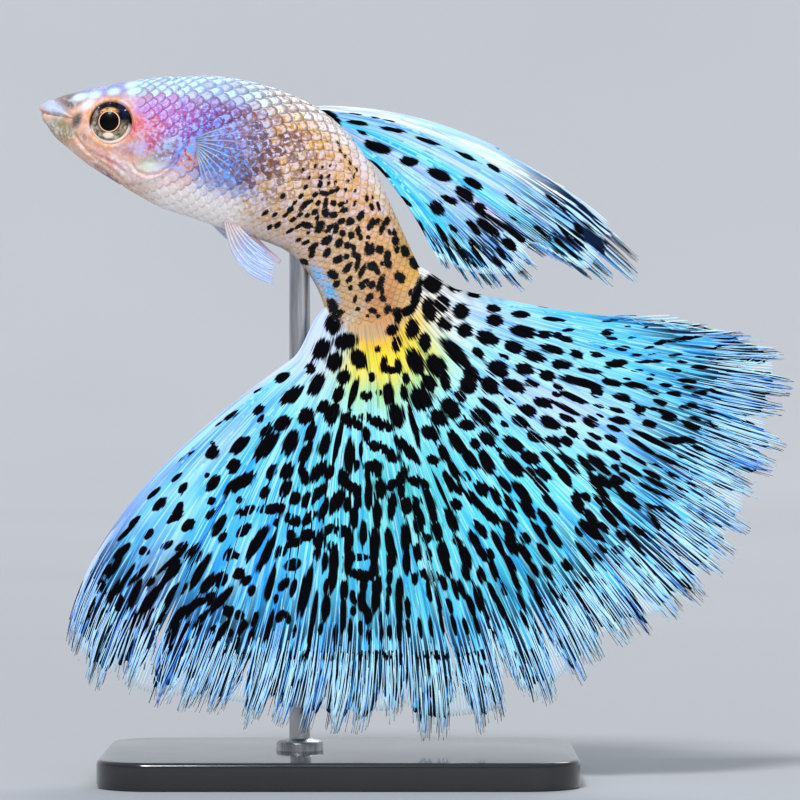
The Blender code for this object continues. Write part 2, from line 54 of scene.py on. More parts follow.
# Camera and studio
VIEW_CENTRE = (4.32, 27.18)
VIEW_WIDTH = 57.6
LENS = 200.0
SENSOR = 36.0
VIEW_DISTANCE = VIEW_WIDTH * LENS / SENSOR
FLOOR_RADIUS = 900.0
FLOOR_CURVE = 500.0
FLOOR_HEIGHT = 900.0
FLOOR_SIDES = 96
FLOOR_BEND_STEPS = 12
CLIP = (0.01, 10.0)
SKY_LIGHT = (0.86, 0.92, 1.0, 1.0)
SKY_STRENGTH = 0.5
# Lamps: name, the direction that the light comes from, strength and width in degrees
SUNS = (("key", (-0.35, -1.0, 1.35), 2.3, 14.0), ("fill", (0.4, -1.0, -0.15), 1.25, 50.0),
        ("back", (0.3, 1.0, 0.9), 1.0, 30.0))

# Body: places along the spine, each with its x and z, the height of the back above the spine,
# the depth of the belly below it and the half width
STATIONS = np.array((
    (-21.53, 48.20, 0.18, 0.25, 0.50),
    (-21.12, 48.06, 0.65, 0.68, 0.86),
    (-20.16, 47.73, 1.51, 1.51, 1.30),
    (-18.94, 47.30, 2.30, 2.09, 1.84),
    (-17.42, 46.87, 3.06, 2.84, 2.30),
    (-15.84, 46.51, 3.71, 3.46, 2.66),
    (-14.04, 46.15, 4.25, 4.14, 2.95),
    (-11.88, 45.75, 4.79, 4.86, 3.13),
    (-9.22, 45.32, 5.18, 5.26, 3.17),
    (-6.34, 44.53, 5.33, 5.40, 3.02),
    (-3.60, 43.23, 5.22, 5.11, 2.70),
    (-1.30, 41.36, 4.57, 4.50, 2.23),
    (0.43, 38.98, 3.89, 3.82, 1.80),
    (1.73, 36.54, 3.67, 3.60, 1.44),
    (2.74, 34.38, 3.71, 3.82, 1.12),
    (3.38, 33.10, 3.78, 3.90, 0.62),
    (4.04, 31.80, 3.80, 3.92, 0.30),
))
SWING_FROM = 18.0
SWING_TO = 30.0
SWING = 1.6
SWING_POWER = 1.8
SPINE_STEP = 0.05
HEAD_SQUARENESS = 0.84
TAIL_SQUARENESS = 1.12
HEAD_END = 11.6
GILL_EDGE = ((-1.0, 6.7), (-0.75, 8.5), (-0.4, 10.2), (0.1, 10.9), (0.6, 10.0), (1.0, 8.9))
TAIL_END = 30.3
TAIL_BULGE = 1.6
TAIL_TAPER = 3.6
SNOUT_REACH = (-0.12, 0.02)

# Head relief
MOUTH_LINE = ((-21.90, 47.95), (-20.88, 47.73), (-20.02, 47.62), (-19.22, 47.37))
JAW_FOLD = ((-19.05, 46.20), (-18.30, 45.10), (-16.40, 43.65), (-15.60, 42.95))
CHEEK_FOLD = ((-14.56, 45.97), (-15.03, 44.9), (-15.03, 44.27), (-14.72, 43.74), (-13.98, 43.42),
              (-13.03, 43.52), (-12.18, 44.05), (-11.66, 44.79), (-11.23, 45.32), (-10.92, 45.75))
JAW_LINE = ((-19.04, 46.27), (-18.73, 45.63), (-18.09, 45.1), (-17.25, 44.69), (-16.42, 44.27),
            (-15.57, 43.63))
LIP_TIP = (-21.1, 48.55)
LIP_LINE = ((-20.74, 48.99), (-20.31, 48.49), (-19.87, 47.98), (-19.30, 47.62))
NOSTRIL = (-19.44, 48.34)

# Eyes
EYE_CENTRE = (-16.33, 47.0)
EYE_ASIDE = 1.88
EYE_RADIUS = 1.52
EYE_HALF_THICKNESS = 1.0
EYE_FORWARD_TURN = 7.0
EYE_UPWARD_TURN = 5.0
EYE_SEEN = (-16.49, 47.16)
EYE_LENS = 0.05
EYE_GROWTH = 0.02

# Tail fin
FAN_CENTRE = (2.30, 34.38)
FAN_TIP_ANGLES = (131.5, 2.5)
FAN_REACH = ((2.5, 22.0), (6.5, 28.9), (14, 30.6), (34, 32.2), (46, 32.0), (58, 30.8),
             (66, 32.2), (78, 32.2), (90, 31.0), (110, 32.2), (126, 34.7), (131.5, 33.4))
FAN_NOTCHES = ((26, 1.0, 1.5), (51, 0.8, 1.2), (70.5, 2.6, 1.5), (86, 0.8, 1.5),
               (104, 0.7, 1.2), (122.5, 1.5, 1.2))
FAN_START = ((0, 146), (0.5, 77), (1, 12))
FAN_FINISH = ((0, 98), (0.12, 112), (0.3, 102), (0.5, 74), (0.75, 36), (0.93, 6), (1, -8))
FAN_LEAN = 0.3
FAN_LEAN_LENGTH = 6.0
FAN_LEAN_ANGLE = 63
FAN_LEAN_POWER = 1.5
FAN_PLEATS = 2.6
FAN_PLEAT_DEPTH = 1.1
FAN_PLEAT_POWER = 1.6
FAN_PLEAT_PHASE = 0.6
FAN_SUNK = 1.6

# Dorsal fin
DORSAL_FOOT = (17.6, 20.7)
DORSAL_BENDS = ((0, 9.8, 48.65), (0.3, 8.0, 45.3), (0.6, 6.2, 43.3), (0.8, 5.4, 42.7), (1, 4.75, 42.4))
DORSAL_TIPS = ((0, 20.9, 38.6), (0.2, 19.9, 35.9), (0.36, 18.3, 35.5), (0.45, 15.0, 37.4),
               (0.58, 14.2, 35.4), (0.75, 11.3, 35.1), (0.9, 9.2, 35.6), (1, 7.3, 36.4))
DORSAL_LEAN = (1.4, 3.7)
DORSAL_WAVES = 1.5
DORSAL_WAVE_DEPTH = 0.5
DORSAL_MEETING = (-2.5, 49.5)

# Pectoral and pelvic fins
PECTORAL_FOOT = ((11.55, 0.40), (11.75, -0.65))
PECTORAL_ANGLES = (28, -62)
PECTORAL_LENGTHS = ((0, 4.7), (0.3, 5.0), (0.7, 4.2), (1, 3.2))
PECTORAL_RISE = 0.65
PECTORAL_SPLAY = 0.26
PELVIC_FOOT_LEFT = (15.1, 16.5)
PELVIC_FOOT_RIGHT = (12.9, 14.3)
PELVIC_TURN = 0.42
PELVIC_TIPS_LEFT = ((0, -4.54, 35.31), (0.3, -4.55, 36.0), (0.6, -4.45, 36.7), (1, -5.3, 37.8))
PELVIC_TIPS_RIGHT = ((0, -6.4, 37.5), (0.5, -5.9, 37.9), (1, -5.9, 38.4))
PELVIC_BOW_LEFT = 0.8
PELVIC_BOW_RIGHT = 0.15
PELVIC_SPLAY = 1.1

# Gonopodium
GONOPODIUM_FOOT = 17.4
GONOPODIUM_MIDDLE = (-5.6, 38.1)
GONOPODIUM_TIP = (-4.3, 37.1)
GONOPODIUM_RADII = (0.32, 0.27, 0.15)
GONOPODIUM_STEPS = 24
GONOPODIUM_RIDGES = (5, 0.12)

# Display stand
BASE_SIZE = (34.0, 24.0, 2.0)
BASE_CORNER = 4.0
BASE_EDGE = 0.35
BASE_EDGE_STEPS = 6
BASE_CORNER_STEPS = 12
BASE_SHARP_FROM = 40
BASE_FOOT = ((-0.3, 0.0), (-0.08, 0.06), (0.0, 0.35))
ROD_X = -2.9
ROD_RADIUS = 0.75
ROD_IN_BASE = 0.8
ROD_IN_FISH = 0.35
ROD_SHARP_FROM = 35
# Radius and height above the base, from the collar's underside to its top
COLLAR = ((0, -0.2), (1.7, -0.2), (1.7, 0.5), (1.62, 0.62), (1.45, 0.72), (1.0, 0.8), (0.92, 0.85),
          (0, 0.85))

# Grown spots: how wide apart they lie, how drawn out and how orderly they are, from the root outwards
SIDE_SIZES = ((0.58, 1.1, 0.0), (1.25, 1.3, 0.04), (0.88, 2.0, 0.12), (0.64, 2.8, 0.15), (0.47, 3.6, 0.15))
DORSAL_SIZES = ((0.95, 2.3, 0.03), (0.65, 3.0, 0.12))
# Distance from the tail fin's root, and the row of SIDE_SIZES there
SIDE_GROWTH = ((0, 2.5, 7, 13, 20, 27), (0.6, 1.0, 1.3, 2.0, 3.2, 4.0))
# Growing them: the grid's step, directions, gain, rounds, the core's and the surround's width
SPOT_STEP = 0.085
SPOT_TURNS = 10
SPOT_GAIN = 6.0
SPOT_ROUNDS = 5
SPOT_CORE = 0.175
SPOT_SURROUND = 2.56
SPOT_UNEVEN = ((1.0, 0.1), (0.3, 0.1))
SIDE_AREA = ((-20.0, 0.5), (34.5, 40.0))
DORSAL_AREA = ((-3.0, 34.0), (22.5, 50.5))
SIDE_SEED = 7
DORSAL_SEED = 9
# Laid spots: how steep their edges are, how much larger than given, and how much less on the body
SPOT_EDGE = 2.4
SPOT_REACH = 1.09
BODY_TRIM = 0.25
# Spots laid singly: the middle of each, its length and width, and degrees down from +X
ROOT_SPOTS = (
    (-0.5, 33.9, 1.2, 0.7, 70), (-0.45, 32.6, 1.4, 1.1, 90), (-1.3, 30.8, 1.5, 1.0, 118),
    (0.45, 31.35, 1.7, 1.1, 170), (-0.35, 29.9, 1.3, 1.0, 110), (1.35, 30.1, 1.4, 1.0, 60),
    (-2.1, 29.4, 0.75, 0.7, 0), (-4.1, 28.8, 1.1, 0.6, 150), (-1.65, 28.3, 1.6, 0.95, 118),
    (-3.45, 27.5, 1.8, 0.9, 145), (0.3, 28.8, 1.0, 0.85, 130), (-0.1, 27.6, 1.0, 0.75, 120),
    (1.0, 27.7, 2.2, 0.5, 106), (2.75, 30.8, 0.5, 0.4, 90), (2.3, 28.8, 0.65, 0.5, 90),
    (3.65, 29.3, 1.3, 0.5, 0), (3.15, 29.7, 1.2, 0.5, 95), (4.2, 29.6, 1.0, 0.5, 80),
    (4.1, 31.15, 1.1, 0.7, 100), (3.75, 32.15, 0.9, 0.75, 150), (5.2, 32.2, 1.3, 0.85, 95),
    (6.05, 31.2, 1.35, 0.8, 100), (5.4, 29.9, 1.9, 1.1, 62), (6.9, 29.6, 1.7, 1.3, 50),
    (7.55, 28.5, 1.3, 0.65, 75), (8.3, 30.5, 2.6, 0.9, 46), (9.4, 29.0, 1.2, 0.9, 50),
    (6.4, 33.6, 1.7, 0.95, 85), (6.65, 35.45, 1.3, 1.25, 0), (7.3, 34.0, 1.15, 1.05, 90),
    (8.7, 33.5, 1.1, 1.0, 0), (7.55, 32.6, 1.05, 0.95, 90), (8.95, 32.15, 1.0, 1.0, 0),
    (10.6, 31.6, 1.5, 1.05, 25), (8.3, 35.25, 0.95, 0.75, 10), (9.65, 34.8, 0.9, 0.55, 0),
    (11.0, 33.7, 1.0, 0.6, 0), (11.1, 32.85, 1.2, 0.85, 0), (6.4, 28.4, 1.15, 1.0, 60),
    (9.15, 28.2, 1.2, 1.1, 40), (1.95, 27.5, 0.8, 0.7, 0), (2.8, 27.7, 0.5, 0.45, 0),
    (3.5, 27.6, 1.4, 0.8, 85), (4.75, 28.7, 0.8, 0.5, 80), (4.65, 27.7, 1.0, 0.5, 80),
    (5.85, 27.25, 1.6, 1.4, 40), (0.65, 25.8, 1.2, 0.8, 20), (1.3, 25.4, 1.0, 0.6, 35),
    (1.9, 25.95, 0.9, 0.6, 0), (2.75, 25.6, 1.3, 0.7, 10), (3.35, 25.2, 1.2, 0.6, 0),
    (4.1, 26.1, 1.7, 1.0, 75), (-1.15, 26.7, 1.0, 0.75, 130), (-0.5, 26.2, 1.3, 1.0, 120),
    (-2.4, 26.0, 1.2, 0.95, 130), (-4.1, 25.5, 1.25, 0.95, 140), (5.5, 34.7, 2.6, 0.6, 104),
    (4.9, 33.55, 1.3, 0.6, 150), (4.2, 33.1, 0.9, 0.5, 100),
)
BACK_SPOTS = (
    (-0.74, 47.54, 1.7, 0.75, 35), (1.14, 47.75, 0.95, 0.2, 3), (2.54, 47.5, 0.55, 0.18, 5),
    (3.79, 47.28, 1.1, 0.2, 8), (5.82, 47.03, 1.55, 0.27, 8), (1.29, 47.11, 1.35, 0.32, 8),
    (3.79, 46.61, 1.8, 0.3, 10), (1.56, 46.42, 0.75, 0.25, 25), (6.29, 45.78, 1.75, 0.3, 17),
    (8.47, 46.26, 1.4, 0.45, 22), (2.74, 45.31, 1.95, 0.68, 17), (4.99, 44.31, 1.25, 0.65, 10),
    (7.12, 43.33, 1.7, 0.75, 22), (9.57, 42.7, 1.35, 0.6, 30), (9.1, 44.66, 1.25, 0.32, 25),
    (8.94, 41.92, 1.35, 1.0, 42), (11.49, 44.97, 1.35, 0.45, 33), (7.85, 41.53, 1.25, 0.45, 25),
    (6.99, 40.91, 1.15, 0.85, 60), (10.1, 40.94, 0.8, 0.55, 40), (2.62, 43.88, 2.35, 0.4, 38),
    (2.38, 42.78, 1.4, 0.42, 62), (0.12, 45.59, 0.95, 0.5, 50), (1.06, 44.34, 0.8, 0.35, 45),
    (4.8, 41.35, 1.1, 0.28, 42), (0.98, 45.51, 0.6, 0.26, 45), (3.4, 40.6, 0.68, 0.4, 60),
    (4.73, 39.74, 1.25, 0.58, 47), (5.66, 39.58, 1.35, 0.45, 60), (4.49, 40.44, 0.65, 0.28, 50),
    (10.74, 40.13, 2.6, 0.35, 34), (12.9, 38.72, 2.9, 0.38, 40), (10.6, 39.5, 1.7, 0.65, 38),
    (9.57, 39.5, 1.55, 0.48, 48), (11.05, 43.8, 0.95, 0.3, 30), (12.3, 41.53, 1.1, 0.26, 48),
    (12.8, 43.88, 1.35, 0.38, 42), (14.5, 39.11, 1.35, 0.5, 45), (17.06, 38.72, 1.55, 0.5, 47),
    (15.4, 41.46, 1.9, 0.4, 45), (8.11, 39.43, 0.8, 0.35, 45), (12.45, 40.13, 0.5, 0.35, 0),
    (13.4, 40.68, 0.7, 0.32, 20), (14.17, 42.78, 0.95, 0.26, 45), (15.9, 39.5, 1.4, 0.32, 55),
    (18.54, 39.66, 0.55, 0.32, 0), (12.3, 38.26, 1.35, 0.6, 25), (7.46, 38.72, 2.3, 0.38, 62),
    (9.8, 37.86, 1.9, 0.5, 58), (11.05, 36.38, 1.55, 0.5, 52), (8.55, 37.94, 2.3, 0.35, 55),
    (13.55, 36.54, 1.25, 0.45, 60), (15.4, 37.5, 0.95, 0.4, 30),
)
# Spots laid on drawings, in the drawing's units: the upper left corner of each and the size of its unit.
# The fan's middle and the body were read from the photo. In the left and right drawings about four
# spots in ten were not: they only fill up the density.
FAN_DRAWING = (-7.2, 34.38), 0.0156
FAN_SPOTS = (
    (1290, 70, 80, 30, 5), (1400, 28, 70, 22, 8), (1440, 92, 90, 20, 8), (1300, 148, 115, 50, 10),
    (1402, 162, 60, 35, 10), (1460, 165, 40, 28, 10), (1260, 220, 80, 55, 15), (1355, 262, 100, 45, 18),
    (1430, 230, 110, 38, 12), (1465, 298, 60, 40, 10), (1095, 245, 60, 40, 40), (1185, 318, 95, 65, 20),
    (1310, 320, 85, 50, 15), (1220, 265, 45, 22, 15), (1412, 350, 70, 45, 15), (1340, 385, 65, 32, 15),
    (1255, 398, 100, 48, 22), (1150, 398, 85, 68, 45), (1460, 400, 40, 22, 15), (1455, 435, 45, 25, 15),
    (1150, 488, 115, 42, 32), (1240, 465, 50, 30, 20), (1322, 510, 75, 50, 25), (1392, 475, 85, 45, 18),
    (1110, 540, 110, 62, 38), (1045, 577, 72, 48, 5), (1165, 605, 50, 35, 35), (1215, 572, 40, 25, 30),
    (1285, 558, 85, 42, 30), (1350, 632, 65, 42, 25), (1425, 565, 95, 45, 22), (1440, 652, 75, 40, 30),
    (1080, 660, 50, 45, 45), (1140, 642, 85, 48, 38), (1190, 690, 32, 25, 30), (1255, 662, 95, 50, 32),
    (1335, 725, 85, 50, 25), (1410, 720, 70, 35, 35), (970, 500, 100, 75, 50), (917, 545, 90, 68, 30),
    (1012, 447, 60, 42, 30), (995, 655, 120, 55, 52), (1060, 732, 110, 48, 52),
    (1135, 745, 110, 55, 65), (1250, 765, 115, 58, 42), (1205, 720, 40, 25, 40),
    (1330, 790, 60, 30, 40), (1390, 800, 80, 40, 40), (1450, 770, 60, 30, 40), (1112, 868, 75, 52, 50),
    (1212, 845, 90, 38, 45), (1290, 880, 120, 42, 52), (1380, 850, 100, 35, 48),
    (1175, 900, 90, 35, 62), (1240, 930, 90, 35, 60), (1320, 960, 110, 40, 55),
    (1420, 930, 110, 35, 50), (1078, 918, 115, 40, 45), (1145, 985, 120, 42, 42),
    (1040, 812, 48, 34, 55), (878, 612, 85, 58, 30), (890, 735, 60, 40, 10), (940, 705, 80, 38, 62),
    (985, 785, 90, 42, 62), (958, 830, 90, 38, 68), (1000, 862, 75, 36, 55), (805, 590, 190, 28, 76),
    (735, 655, 70, 45, 45), (775, 690, 150, 42, 48), (660, 685, 140, 42, 22), (620, 672, 60, 45, 0),
    (705, 725, 70, 45, 30), (585, 622, 62, 38, 90), (505, 720, 150, 58, 95), (480, 820, 80, 55, 90),
    (520, 858, 80, 40, 15), (540, 885, 60, 38, 80), (455, 650, 200, 26, 103), (560, 690, 60, 20, 90),
    (540, 760, 55, 25, 95), (615, 765, 85, 55, 0), (640, 790, 50, 35, 80), (590, 800, 70, 28, 92),
    (595, 890, 150, 36, 92), (648, 870, 95, 48, 95), (635, 985, 130, 46, 92), (700, 850, 60, 40, 130),
    (745, 815, 100, 48, 118), (745, 875, 60, 34, 90), (825, 840, 110, 44, 18), (872, 920, 130, 42, 68),
    (893, 990, 70, 35, 80), (790, 930, 90, 52, 170), (765, 955, 50, 40, 60), (822, 975, 90, 36, 60),
    (825, 1030, 80, 48, 100), (702, 950, 120, 38, 98), (497, 940, 65, 32, 97), (545, 930, 70, 34, 92),
    (530, 1000, 90, 40, 95), (930, 880, 200, 18, 66), (975, 1010, 115, 48, 68), (992, 940, 55, 45, 30),
    (908, 1062, 90, 52, 85), (395, 665, 120, 46, 108), (330, 608, 80, 44, 112),
    (307, 705, 100, 46, 122), (232, 660, 125, 62, 115), (122, 603, 70, 42, 145),
    (120, 675, 150, 60, 132), (20, 660, 70, 40, 130), (92, 508, 55, 38, 140), (100, 548, 40, 24, 140),
    (365, 790, 110, 48, 125), (415, 792, 65, 42, 110), (300, 812, 80, 42, 80), (284, 770, 38, 24, 110),
    (222, 788, 80, 55, 118), (150, 790, 70, 42, 125), (215, 867, 75, 52, 125), (368, 888, 110, 42, 128),
    (258, 912, 62, 50, 120), (310, 920, 80, 34, 105), (118, 885, 58, 38, 130), (40, 830, 90, 40, 140),
    (35, 968, 90, 40, 160), (155, 960, 125, 45, 175), (245, 1008, 90, 48, 25),
    (325, 1000, 100, 40, 140), (448, 925, 115, 55, 118), (393, 960, 100, 38, 115),
    (75, 420, 60, 16, 150), (1400, 1000, 90, 34, 55), (1250, 1000, 90, 36, 55), (20, 1060, 80, 40, 140),
    (85, 1115, 170, 44, 122), (125, 1165, 190, 38, 116), (170, 1022, 40, 24, 110),
    (237, 1078, 45, 42, 0), (195, 1155, 60, 44, 150), (240, 1120, 60, 30, 150),
    (275, 1110, 50, 28, 120), (250, 1215, 85, 48, 165), (315, 1080, 80, 50, 165),
    (370, 1110, 60, 60, 110), (360, 1165, 50, 40, 110), (400, 1060, 90, 40, 150),
    (420, 1130, 50, 34, 90), (475, 1060, 80, 50, 10), (505, 1110, 130, 38, 95),
    (505, 1200, 130, 38, 95), (570, 1070, 100, 38, 92), (550, 1180, 110, 30, 0),
    (622, 1130, 200, 40, 92), (560, 1260, 130, 44, 12), (620, 1240, 70, 48, 100),
    (572, 1310, 70, 34, 92), (690, 1110, 120, 38, 82), (700, 1190, 100, 42, 100),
    (765, 1090, 130, 44, 88), (770, 1200, 110, 32, 90), (860, 1095, 48, 44, 0), (820, 1158, 80, 42, 88),
    (866, 1168, 56, 34, 90), (870, 1262, 100, 46, 15), (935, 1165, 120, 54, 80),
    (950, 1230, 90, 36, 75), (1000, 1110, 60, 38, 20), (1035, 1180, 110, 52, 78),
    (1040, 1235, 100, 38, 80), (1080, 1100, 100, 38, 62), (1110, 1160, 90, 38, 62),
    (1105, 1050, 90, 38, 50), (1150, 1165, 50, 32, 60), (1185, 1110, 120, 36, 66),
    (1235, 1060, 110, 36, 58), (1250, 1130, 110, 38, 62), (1310, 1090, 60, 38, 50),
    (1370, 1060, 110, 32, 55), (1440, 1080, 110, 36, 55), (1240, 1215, 100, 34, 66),
    (1310, 1165, 110, 34, 60), (1400, 1160, 100, 34, 55), (30, 1290, 60, 34, 130),
    (60, 1335, 50, 30, 110), (145, 1305, 160, 38, 108), (210, 1305, 70, 38, 120),
    (250, 1320, 80, 26, 105), (172, 1372, 36, 24, 100), (310, 1330, 230, 44, 104),
    (345, 1440, 190, 26, 98), (395, 1205, 100, 32, 100), (400, 1310, 60, 24, 98),
    (440, 1190, 130, 38, 97), (430, 1290, 110, 38, 96), (400, 1410, 110, 38, 95),
    (485, 1330, 90, 36, 94), (480, 1440, 170, 32, 94), (527, 1362, 60, 32, 80), (525, 1425, 40, 26, 90),
    (565, 1385, 110, 38, 88), (590, 1440, 90, 42, 80), (635, 1310, 90, 42, 96),
    (628, 1380, 100, 38, 92), (690, 1275, 60, 30, 95), (688, 1330, 36, 24, 90),
    (735, 1330, 110, 38, 92), (733, 1420, 130, 32, 90), (680, 1400, 100, 22, 92),
    (775, 1410, 90, 26, 86), (805, 1280, 60, 26, 88), (870, 1340, 100, 26, 82),
    (915, 1370, 110, 30, 78), (940, 1300, 70, 28, 76), (965, 1400, 70, 24, 74), (990, 1320, 90, 24, 74),
    (1020, 1330, 100, 30, 72), (1060, 1400, 100, 28, 70), (1110, 1260, 70, 34, 76),
    (1100, 1370, 110, 36, 74), (1165, 1240, 100, 32, 74), (1160, 1340, 80, 26, 70),
    (1215, 1330, 60, 28, 72), (1200, 1410, 110, 26, 68), (1265, 1290, 90, 28, 66),
    (1290, 1380, 100, 26, 66), (1340, 1300, 90, 26, 62), (1350, 1230, 80, 28, 60),
    (1410, 1250, 80, 28, 58), (1440, 1340, 90, 26, 58), (1375, 1380, 90, 26, 60),
    (75, 1465, 60, 38, 110), (20, 1500, 70, 34, 125), (190, 1450, 60, 42, 130), (225, 1455, 60, 34, 60),
    (140, 1500, 130, 32, 106), (60, 1545, 60, 34, 100), (255, 1520, 50, 20, 100),
    (330, 1530, 130, 26, 99), (375, 1510, 60, 20, 97), (445, 1530, 90, 28, 94),
    (510, 1520, 110, 24, 92), (560, 1500, 70, 24, 90), (600, 1540, 70, 28, 88), (650, 1460, 60, 22, 90),
    (655, 1530, 70, 20, 90), (690, 1520, 60, 24, 90), (735, 1520, 110, 32, 88), (775, 1510, 80, 24, 86),
    (830, 1500, 90, 20, 84), (880, 1500, 100, 20, 82), (930, 1480, 90, 20, 80), (985, 1490, 90, 20, 76),
    (1040, 1500, 80, 20, 74), (1090, 1490, 90, 20, 72), (1140, 1450, 80, 22, 70),
    (1170, 1530, 70, 20, 70), (1240, 1490, 90, 22, 68), (1310, 1470, 90, 22, 64),
    (1370, 1500, 80, 20, 62), (1430, 1450, 80, 20, 60),
)
LEFT_DRAWING = (-20.16, 28.62), 0.0170
LEFT_SPOTS = (
    (720, 150, 80, 28, 148), (672, 185, 60, 16, 148), (650, 265, 20, 16, 0), (652, 305, 58, 46, 130),
    (765, 275, 90, 46, 135), (520, 330, 110, 18, 148), (450, 370, 120, 20, 145),
    (500, 410, 60, 18, 140), (740, 362, 62, 44, 130), (628, 402, 30, 22, 130), (655, 437, 72, 44, 132),
    (765, 435, 130, 44, 140), (735, 455, 50, 40, 140), (525, 455, 45, 34, 130), (395, 480, 80, 22, 140),
    (410, 440, 30, 14, 140), (330, 515, 30, 14, 140), (645, 510, 40, 34, 0), (700, 518, 16, 14, 0),
    (762, 505, 30, 26, 130), (425, 525, 70, 34, 135), (503, 542, 55, 38, 120), (495, 578, 80, 26, 155),
    (645, 567, 56, 34, 140), (283, 565, 26, 12, 140), (315, 598, 60, 28, 140), (550, 612, 60, 40, 140),
    (680, 612, 90, 40, 122), (275, 650, 140, 22, 138), (380, 650, 50, 30, 140), (692, 662, 50, 32, 130),
    (362, 722, 44, 36, 0), (458, 697, 56, 28, 145), (515, 702, 60, 24, 140), (265, 725, 90, 34, 135),
    (480, 760, 190, 22, 137), (565, 720, 90, 26, 140), (575, 750, 80, 30, 138),
    (235, 790, 110, 30, 125), (200, 800, 60, 18, 130), (130, 828, 28, 14, 130),
    (340, 820, 110, 22, 132), (275, 850, 150, 20, 122), (388, 848, 44, 34, 140),
    (230, 900, 140, 22, 115), (475, 810, 110, 46, 135), (595, 810, 180, 36, 122),
    (440, 860, 90, 26, 130), (625, 860, 100, 38, 125), (685, 838, 60, 48, 130), (720, 735, 60, 44, 130),
    (752, 740, 30, 34, 130), (760, 815, 50, 44, 120), (320, 905, 120, 34, 115), (262, 950, 60, 30, 100),
    (390, 930, 160, 34, 118), (350, 960, 110, 24, 115), (480, 900, 100, 26, 125),
    (465, 940, 40, 28, 130), (530, 880, 70, 24, 125), (560, 960, 110, 34, 130), (600, 935, 40, 26, 130),
    (642, 922, 52, 40, 130), (685, 930, 150, 32, 132), (717, 972, 50, 46, 120), (765, 990, 44, 36, 120),
    (130, 990, 110, 28, 112), (150, 940, 50, 18, 112), (180, 1000, 50, 22, 108),
    (205, 1020, 40, 20, 108), (320, 1010, 120, 24, 112), (370, 1050, 150, 36, 112),
    (300, 1050, 70, 20, 108), (265, 1040, 40, 16, 108), (500, 1000, 110, 28, 122),
    (435, 1000, 60, 20, 120), (480, 1080, 120, 22, 118), (530, 1060, 110, 22, 122),
    (600, 1010, 90, 26, 130), (590, 1055, 60, 18, 128), (650, 1050, 40, 26, 130),
    (690, 1060, 110, 30, 122), (725, 1065, 36, 32, 120), (610, 1115, 70, 24, 130),
    (655, 1110, 90, 24, 128), (560, 1110, 60, 18, 122), (730, 1135, 50, 26, 120),
    (695, 1145, 60, 22, 125), (755, 1110, 50, 24, 115), (760, 1180, 90, 26, 110),
    (640, 1160, 50, 18, 125), (540, 1150, 70, 16, 122), (455, 1150, 70, 18, 115),
    (410, 1140, 60, 20, 112), (120, 1090, 60, 18, 108), (170, 1090, 50, 14, 105),
    (220, 1110, 50, 14, 104), (245, 1130, 40, 12, 104),
)
RIGHT_DRAWING = (14.4, 35.82), 0.0165
